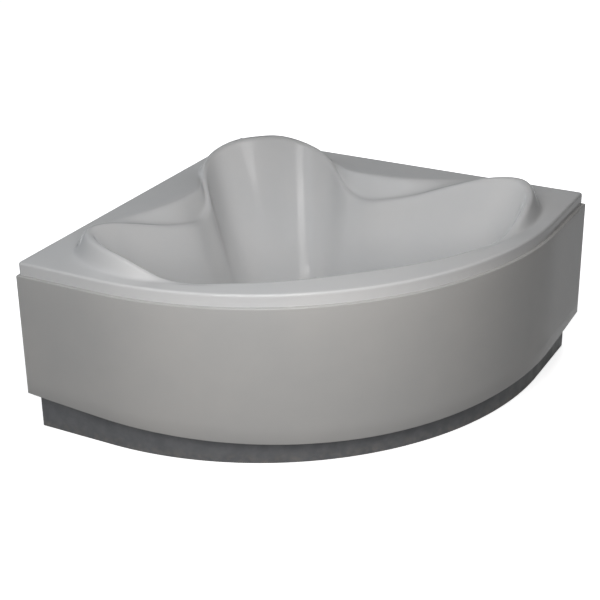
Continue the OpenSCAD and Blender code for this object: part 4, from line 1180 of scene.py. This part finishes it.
def make_pad(name, stand):
    """A foot pad with a grooved sole, a neck round the rod and ribs from neck to edge."""
    sole = [(0, 0)]
    for r in PAD_GROOVES:
        sole += [(r, 0), (r + 0.6, 0.9), (r + 2.0, 0.9), (r + 2.6, 0)]
    body = sole + [(PAD_R - 2, 0), (PAD_R, 2), (PAD_R, PAD_T - 2), (PAD_R - 4, PAD_T),
                   (ROD_R + 8, PAD_T + 1.6), (ROD_R + 6.4, NECK_H), (ROD_R + ROD_FIT, NECK_H),
                   (ROD_R + ROD_FIT, ROD_FOOT), (0, ROD_FOOT)]
    sizes = [0.3] * len(sole) + [1.2, 1.2, 1.6, 1.6, 2.5, 1.0, 0.6, 0.4, 0]
    pad = turned(name + "_disc", fillet(body, sizes, 3), 64)
    outline = [(ROD_R + 5.6, PAD_T - 1.0), (PAD_R - 4.5, PAD_T - 1.0), (PAD_R - 5.0, PAD_T + 0.6),
               (ROD_R + 9.0, NECK_H - 5.5), (ROD_R + 5.6, NECK_H - 2.5)]
    points = np.array([(x, y, z) for y in (-PAD_RIB_HALF, PAD_RIB_HALF) for x, z in outline]) / 1000
    n = len(outline)
    faces = [tuple(range(n)), tuple(range(2 * n - 1, n - 1, -1))]
    faces += [(i, i + n, (i + 1) % n + n, (i + 1) % n) for i in range(n)]
    rib = faces_outwards(new_piece(name + "_rib", points, faces))
    grown(rib, RING_OF, Count=PAD_RIBS, Finish=BLACK_PLASTIC)
    piece = joined(name, [pad, rib])
    piece.data.transform(Matrix.Translation(stand))
    return piece


def make_nut():
    """A hexagon nut with both its ends chamfered, on the axis, its lower face at Z = 0."""
    r, h, c = NUT_CORNER, NUT_H, NUT_CHAMFER
    flat = r * math.cos(math.radians(30))
    block = turned("nut_block", [(0, 0), (r, 0), (r, h), (0, h)], 6)
    ends = turned("nut_ends", [(0, -0.5), (flat - 1.2, -0.5), (r + 0.4, c), (r + 0.4, h - c),
                               (flat - 1.2, h + 0.5), (0, h + 0.5)], 48)
    b = ROD_R + 0.12
    bore = turned("nut_bore", [(0, -1), (b + 1.6, -1), (b, 0.7), (b, h - 0.7), (b + 1.6, h + 1),
                               (0, h + 1)], 32)
    return smooth(carved(carved(block, ends, "INTERSECT"), bore), 30)


def set_fixings(name, fixing, places, material):
    """One piece that has the fixing at each place: a point in metres and three angles."""
    mesh = bpy.data.meshes.new(name)
    mesh.from_pydata([tuple(q) for q, _ in places], [], [])
    angles = mesh.attributes.new("angles", "FLOAT_VECTOR", "POINT")
    angles.data.foreach_set("vector", [v for _, a in places for v in a])
    return smooth(grown(set_out(name, mesh), FIXINGS, Fixing=fixing, Finish=material), 35)


for foot, spot in FEET.items():
    stand = tuple(room(*spot, 0))
    finished(make_rod("threaded_rod_" + foot, stand), ZINC, body=foot + "_foot", slot="zinc_steel",
             instead_of=["foot_rod_" + foot])
    finished(make_pad("ribbed_pad_" + foot, stand), BLACK_PLASTIC, body=foot + "_foot",
             slot="black_plastic", instead_of=["foot_pad_" + foot])

nut = make_nut()
nut_places = [(room(*spot, z), (0.0, 0.0, 0.4 * k)) for k, spot in enumerate(FEET.values())
              for z in (RAIL_Z - NUT_H, RAIL_TOP)]
finished(set_fixings("hexagon_nuts", nut, nut_places, ZINC), ZINC, slot="zinc_steel",
         instead_of=["foot_nuts"])
bpy.data.objects.remove(nut)


# Screws of hangers, catches and brackets: a fixing has its head below Z = 0 and its shank above.
# Places are in the frame of the front arc at an angle, where X is the distance from its centre

POST_ANGLE, RETURN_ANGLE, HANGER_ANGLE, RETURN_Y, HANGER_Y = 13.91, 45, 24, 129.98, 153.0
HANGER_X, HANGER_Z, HANGER_ASIDE = 1062, 574, 10
CATCH_X, CATCH_RETURN_X, CATCH_Z, CATCH_FOOT_X, CATCH_FOOT_Z = 1054.5, 1043.5, (174, 188), 1026, 110
BRACKET_X, BRACKET_Z, BRACKET_ASIDE = 1056.7, 82, 8
UP, IN, OUT = (0, 0, 1), (-1, 0, 0), (1, 0, 0)


def make_screw(name, head_r, head_h, shank_r, shank_l):
    """A pan head with a cross recess, a shank and a blunt point, in millimetres."""
    outline = [(0, -head_h), (head_r * 0.7, -head_h), (head_r, -0.4), (head_r, 0), (shank_r, 0),
               (shank_r, shank_l - shank_r), (shank_r * 0.3, shank_l), (0, shank_l)]
    screw = turned(name, fillet(outline, [0, head_h * 0.45, 0.3, 0.2, 0, 0.3, 0.2, 0], 3), 28)
    arm, wide, deep = head_r * 0.55, 0.4, -head_h * 0.35
    one = ((wide, -wide), (arm, -wide), (arm, wide))
    plan = [(x * c - y * s, x * s + y * c) for c, s in ((1, 0), (0, 1), (-1, 0), (0, -1))
            for x, y in one]
    low = [(x, y, -head_h - 0.5) for x, y in plan]
    high = [(x * 0.6, y * 0.6, deep) for x, y in plan]
    n = len(plan)
    faces = [(k, (k + 1) % n, (k + 1) % n + n, k + n) for k in range(n)]
    faces += [tuple(range(n - 1, -1, -1)), tuple(range(n, 2 * n))]
    cross = faces_outwards(new_piece(name + "_cross", np.array(low + high) / 1000, faces))
    return smooth(carved(screw, cross), 35)


def from_arc(angle, x, y, z, side, heading):
    """A fixing's place and angles, from a point and a heading in the frame at an angle on one
    side of the bath."""
    p, w = swung(angle, x, y)
    dp, dw = swung(angle, *heading[:2])
    dw *= side
    s = math.sqrt(0.5)
    way = Vector(((dp + dw) * s, (dw - dp) * s, heading[2]))
    return room(ARC_P + p, side * w, z), tuple(way.to_track_quat("Z", "Y").to_euler())


hanger_places, catch_places, bracket_places = [], [], []
for side in (-1, 1):
    for aside in (-HANGER_ASIDE, HANGER_ASIDE):
        hanger_places += [from_arc(angle, HANGER_X, y + aside, HANGER_Z, side, UP)
                          for angle, y in ((HANGER_ANGLE, 0), (RETURN_ANGLE, HANGER_Y))]
    for z in CATCH_Z:
        catch_places += [from_arc(angle, x, y, z, side, IN)
                         for angle, x, y in ((POST_ANGLE, CATCH_X, 0),
                                             (RETURN_ANGLE, CATCH_RETURN_X, RETURN_Y))]
    for angle, y in ((POST_ANGLE, 0), (RETURN_ANGLE, RETURN_Y)):
        catch_places.append(from_arc(angle, CATCH_FOOT_X, y, CATCH_FOOT_Z, side, UP))
        bracket_places += [from_arc(angle, BRACKET_X, y + aside, BRACKET_Z, side, OUT)
                           for aside in (-BRACKET_ASIDE, BRACKET_ASIDE)]

screw = make_screw("pan_head_screw", 4.2, 2.5, 1.9, 13)
short_screw = make_screw("short_screw", 3.6, 2.0, 1.6, 2.6)
finished(set_fixings("hanger_cross_screws", screw, hanger_places, ZINC), ZINC, slot="zinc_steel",
         instead_of=["hanger_screws"])
finished(set_fixings("catch_cross_screws", screw, catch_places, ZINC), ZINC, slot="zinc_steel")
finished(set_fixings("bracket_cross_screws", short_screw, bracket_places, ZINC), ZINC,
         slot="zinc_steel")
for spare in (screw, short_screw):
    bpy.data.objects.remove(spare)


# Weld beads round the posts' feet and where rails meet

POST_FEET = [(140.0, 0.0, 0.0), (1050.07, 819.52, 45.0), (1050.07, -819.52, 45.0),
             (1423.87, 250.0, POST_ANGLE), (1423.87, -250.0, -POST_ANGLE)]
RAIL_ENDS = [(715.3, 250.0), (715.3, -250.0), (1034.8, 250.0), (1034.8, -250.0), (1065.3, 250.0),
             (1065.3, -250.0), (684.8, 0.0)]
POST_HALF, POST_CORNER, RAIL_HALF, RAIL_CORNER = 12.8, 1.5, 15.2, 1.5
BEAD_PROUD, BEAD_SHORT = 0.2, 2.4
BEAD = dict(Radius=0.0022, Sides=8, Step=0.0006, Rib_Depth=0.0006, Rib_Pitch=0.0026, Capped=True,
            Finish=FRAME_STEEL)


def weld_round_post(p, w, turn):
    """A loop at the foot of a square post that stands at P and W, turned by an angle."""
    line = []
    for k in range(4):
        for a in np.radians(np.linspace(0, 90, 5)):
            flat = POST_HALF - POST_CORNER
            x, y = swung(turn + 90 * k, flat + POST_CORNER * math.cos(a),
                         flat + POST_CORNER * math.sin(a))
            line.append(room(p + x, w + y, RAIL_TOP + BEAD_PROUD))
    return line


def weld_at_rail(p, w):
    """A run down one side of a rail's end, under it and up its other side."""
    low, top, half, c = RAIL_Z - BEAD_PROUD, RAIL_TOP - BEAD_SHORT, RAIL_HALF, RAIL_CORNER
    return [room(p, w + y, z) for y, z in ((-half, top), (-half, low + c), (-half + c, low),
                                           (half - c, low), (half, low + c), (half, top))]


post_welds = paths("post_weld_beads", [weld_round_post(*foot) for foot in POST_FEET], True)
rail_welds = paths("rail_weld_beads", [weld_at_rail(*end) for end in RAIL_ENDS])
for welds in (post_welds, rail_welds):
    finished(smooth(grown(welds, TUBE_ON_PATH, **BEAD), 60), FRAME_STEEL, slot="frame_steel")


# Chrome: strainer flange, plug, overflow plate and knob

SLEEVE_BORE_R, SLEEVE_R, FLANGE_R, PLUG_R, CUP_R, KNOB_R = 21.0, 25.0, 36.0, 30.0, 37.0, 31.0
FLUTE_R, FLUTES, FLUTE_AT, FLUTE_SOFT = 0.007, 8, (KNOB_R + 4) / 1000, 0.0005
FLUTE_FROM_R, FLUTE_FROM_Z = 0.02, 0.0075
PLUG_SEAT, CUP_SEAT = 1.8, 0.8
BAR_SIZE, BAR_AT, BAR_BEVEL, BARS = (0.0145, 0.003, 0.004, 1), (0.0145, 0, -0.024), 0.0008, 6
DRAIN_TURN = Matrix.Translation(Vector(room(BASIN_P, 0, FLOOR_Z)))


def make_flange():
    """The strainer: a dished flange on a sleeve, with bars round a guide for the plug's stem."""
    s, f, b = SLEEVE_R, FLANGE_R, SLEEVE_BORE_R
    outline = [(s, -20), (s, 0), (f, 0), (f, 0.8), (f - 1.2, 2), (f - 3, 2.5), (PLUG_R + 2.5, 2.5),
               (PLUG_R + 1, 1.5), (b + 2, 1.5), (b, -0.5), (b, -40), (s, -40), (s, -20)]
    sizes = [0, 0.3, 0.3, 0.5, 0.8, 0.5, 0.4, 0.6, 1.2, 1.2, 0.4, 0.4, 0]
    ring = turned_ring("flange_ring", outline, sizes, 4, 128)
    guide = [(4.3, -25), (4.3, -30), (8, -30), (8, -21), (4.3, -21), (4.3, -25)]
    hub = turned_ring("flange_hub", guide, [0, 0.4, 1.0, 1.0, 0.4, 0], 3, 48)
    work = bmesh.new()
    bmesh.ops.create_cube(work, size=1.0,
                          matrix=Matrix.Translation(BAR_AT) @ Matrix.Diagonal(BAR_SIZE))
    bmesh.ops.bevel(work, geom=work.edges[:], offset=BAR_BEVEL, segments=3, affect="EDGES",
                    profile=0.5)
    bars = grown(piece_of("flange_bar", work), RING_OF, Count=BARS, Finish=CHROME)
    piece = joined("strainer_flange", [ring, hub, bars])
    piece.data.transform(DRAIN_TURN)
    return piece


def make_plug():
    low, b, r = PLUG_SEAT, SLEEVE_BORE_R - 3, PLUG_R
    outline = [(0, -52), (3, -52), (4, -51), (4, -8), (10, low - 0.2), (b, low - 0.2), (b, low),
               (r, low), (r, low + 1.5), (r - 2, low + 3), (r * 0.6, low + 5), (0, low + 6)]
    sizes = [0, 0.4, 0.4, 3.0, 1.0, 0.1, 0.1, 0.4, 1.2, 2.0, 9.0, 0]
    return turned("domed_plug", fillet(outline, sizes, 5), 128, DRAIN_TURN)


def make_overflow_ring():
    low, r = CUP_SEAT, CUP_R
    outline = [(28, low), (r, low), (r, low + 1), (r - 2, low + 2.6), (22, low + 3), (18, low + 3),
               (18, low), (28, low)]
    return turned_ring("overflow_ring", outline, [0, 0.3, 0.7, 1.2, 1.0, 0.8, 0.3, 0], 5, 128,
                       overflow_turn())


def flute(angle, r, z):
    """The share of its radius that the knob keeps between its flutes."""
    off = (angle + math.pi / FLUTES) % (2 * math.pi / FLUTES) - math.pi / FLUTES
    inside = FLUTE_R ** 2 - (FLUTE_AT * math.sin(off)) ** 2
    if r < FLUTE_FROM_R or z < FLUTE_FROM_Z or inside <= 0:
        return 1.0
    cut = FLUTE_AT * math.cos(off) - math.sqrt(inside)
    return (min(r, cut) - FLUTE_SOFT * math.log1p(math.exp(-abs(r - cut) / FLUTE_SOFT))) / r


def make_knob():
    r = KNOB_R
    outline = [(0, -22), (4, -22), (4, 9), (r - 6, 9), (r - 2, 8), (r, 10), (r - 1, 20),
               (r - 4, 23), (r - 12, 24), (0, 24)]
    sizes = [0, 0.5, 0.8, 1.0, 1.0, 1.5, 2.5, 2.0, 3.0, 0]
    return turned("fluted_knob", fillet(outline, sizes, 6), 192, overflow_turn(), wave=flute)


finished(make_flange(), CHROME, slot="chrome", instead_of=["drain_flange"])
finished(make_plug(), CHROME, body="plug", slot="chrome", instead_of=["drain_plug"])
finished(make_overflow_ring(), CHROME, slot="chrome", instead_of=["overflow_plate"])
finished(make_knob(), CHROME, body="knob", slot="chrome", instead_of=["overflow_knob"])


# CAD nodes that keep their shape

KEPT = {
    BOARD: ["base_board"],
    BATTEN: ["wall_batten_left", "wall_batten_right", "front_batten", "corner_block_back",
             "corner_block_left", "corner_block_right"],
    FRAME_STEEL: ["main_rail", "rear_rail", "spine_rail", "long_rail_left", "long_rail_right",
                  "front_rail_left", "front_rail_right", "post_back", "post_left", "post_right",
                  "post_front_left", "post_front_right"],
    ZINC: ["panel_hangers", "panel_catches", "plinth_brackets", "wall_clips"],
    BLACK_PLASTIC: ["rail_caps"],
    MAGNET: ["panel_magnets"],
    RUBBER: ["drain_seal", "overflow_seal"],
    WHITE_PLASTIC: ["drain_body", "trap_bowl", "trap_nut", "waste_pipe", "overflow_body",
                    "hose_nuts"],
}
for finish_material, names in KEPT.items():
    for node_name in names:
        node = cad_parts[node_name]
        node.data.materials.clear()
        node.data.materials.append(finish_material)
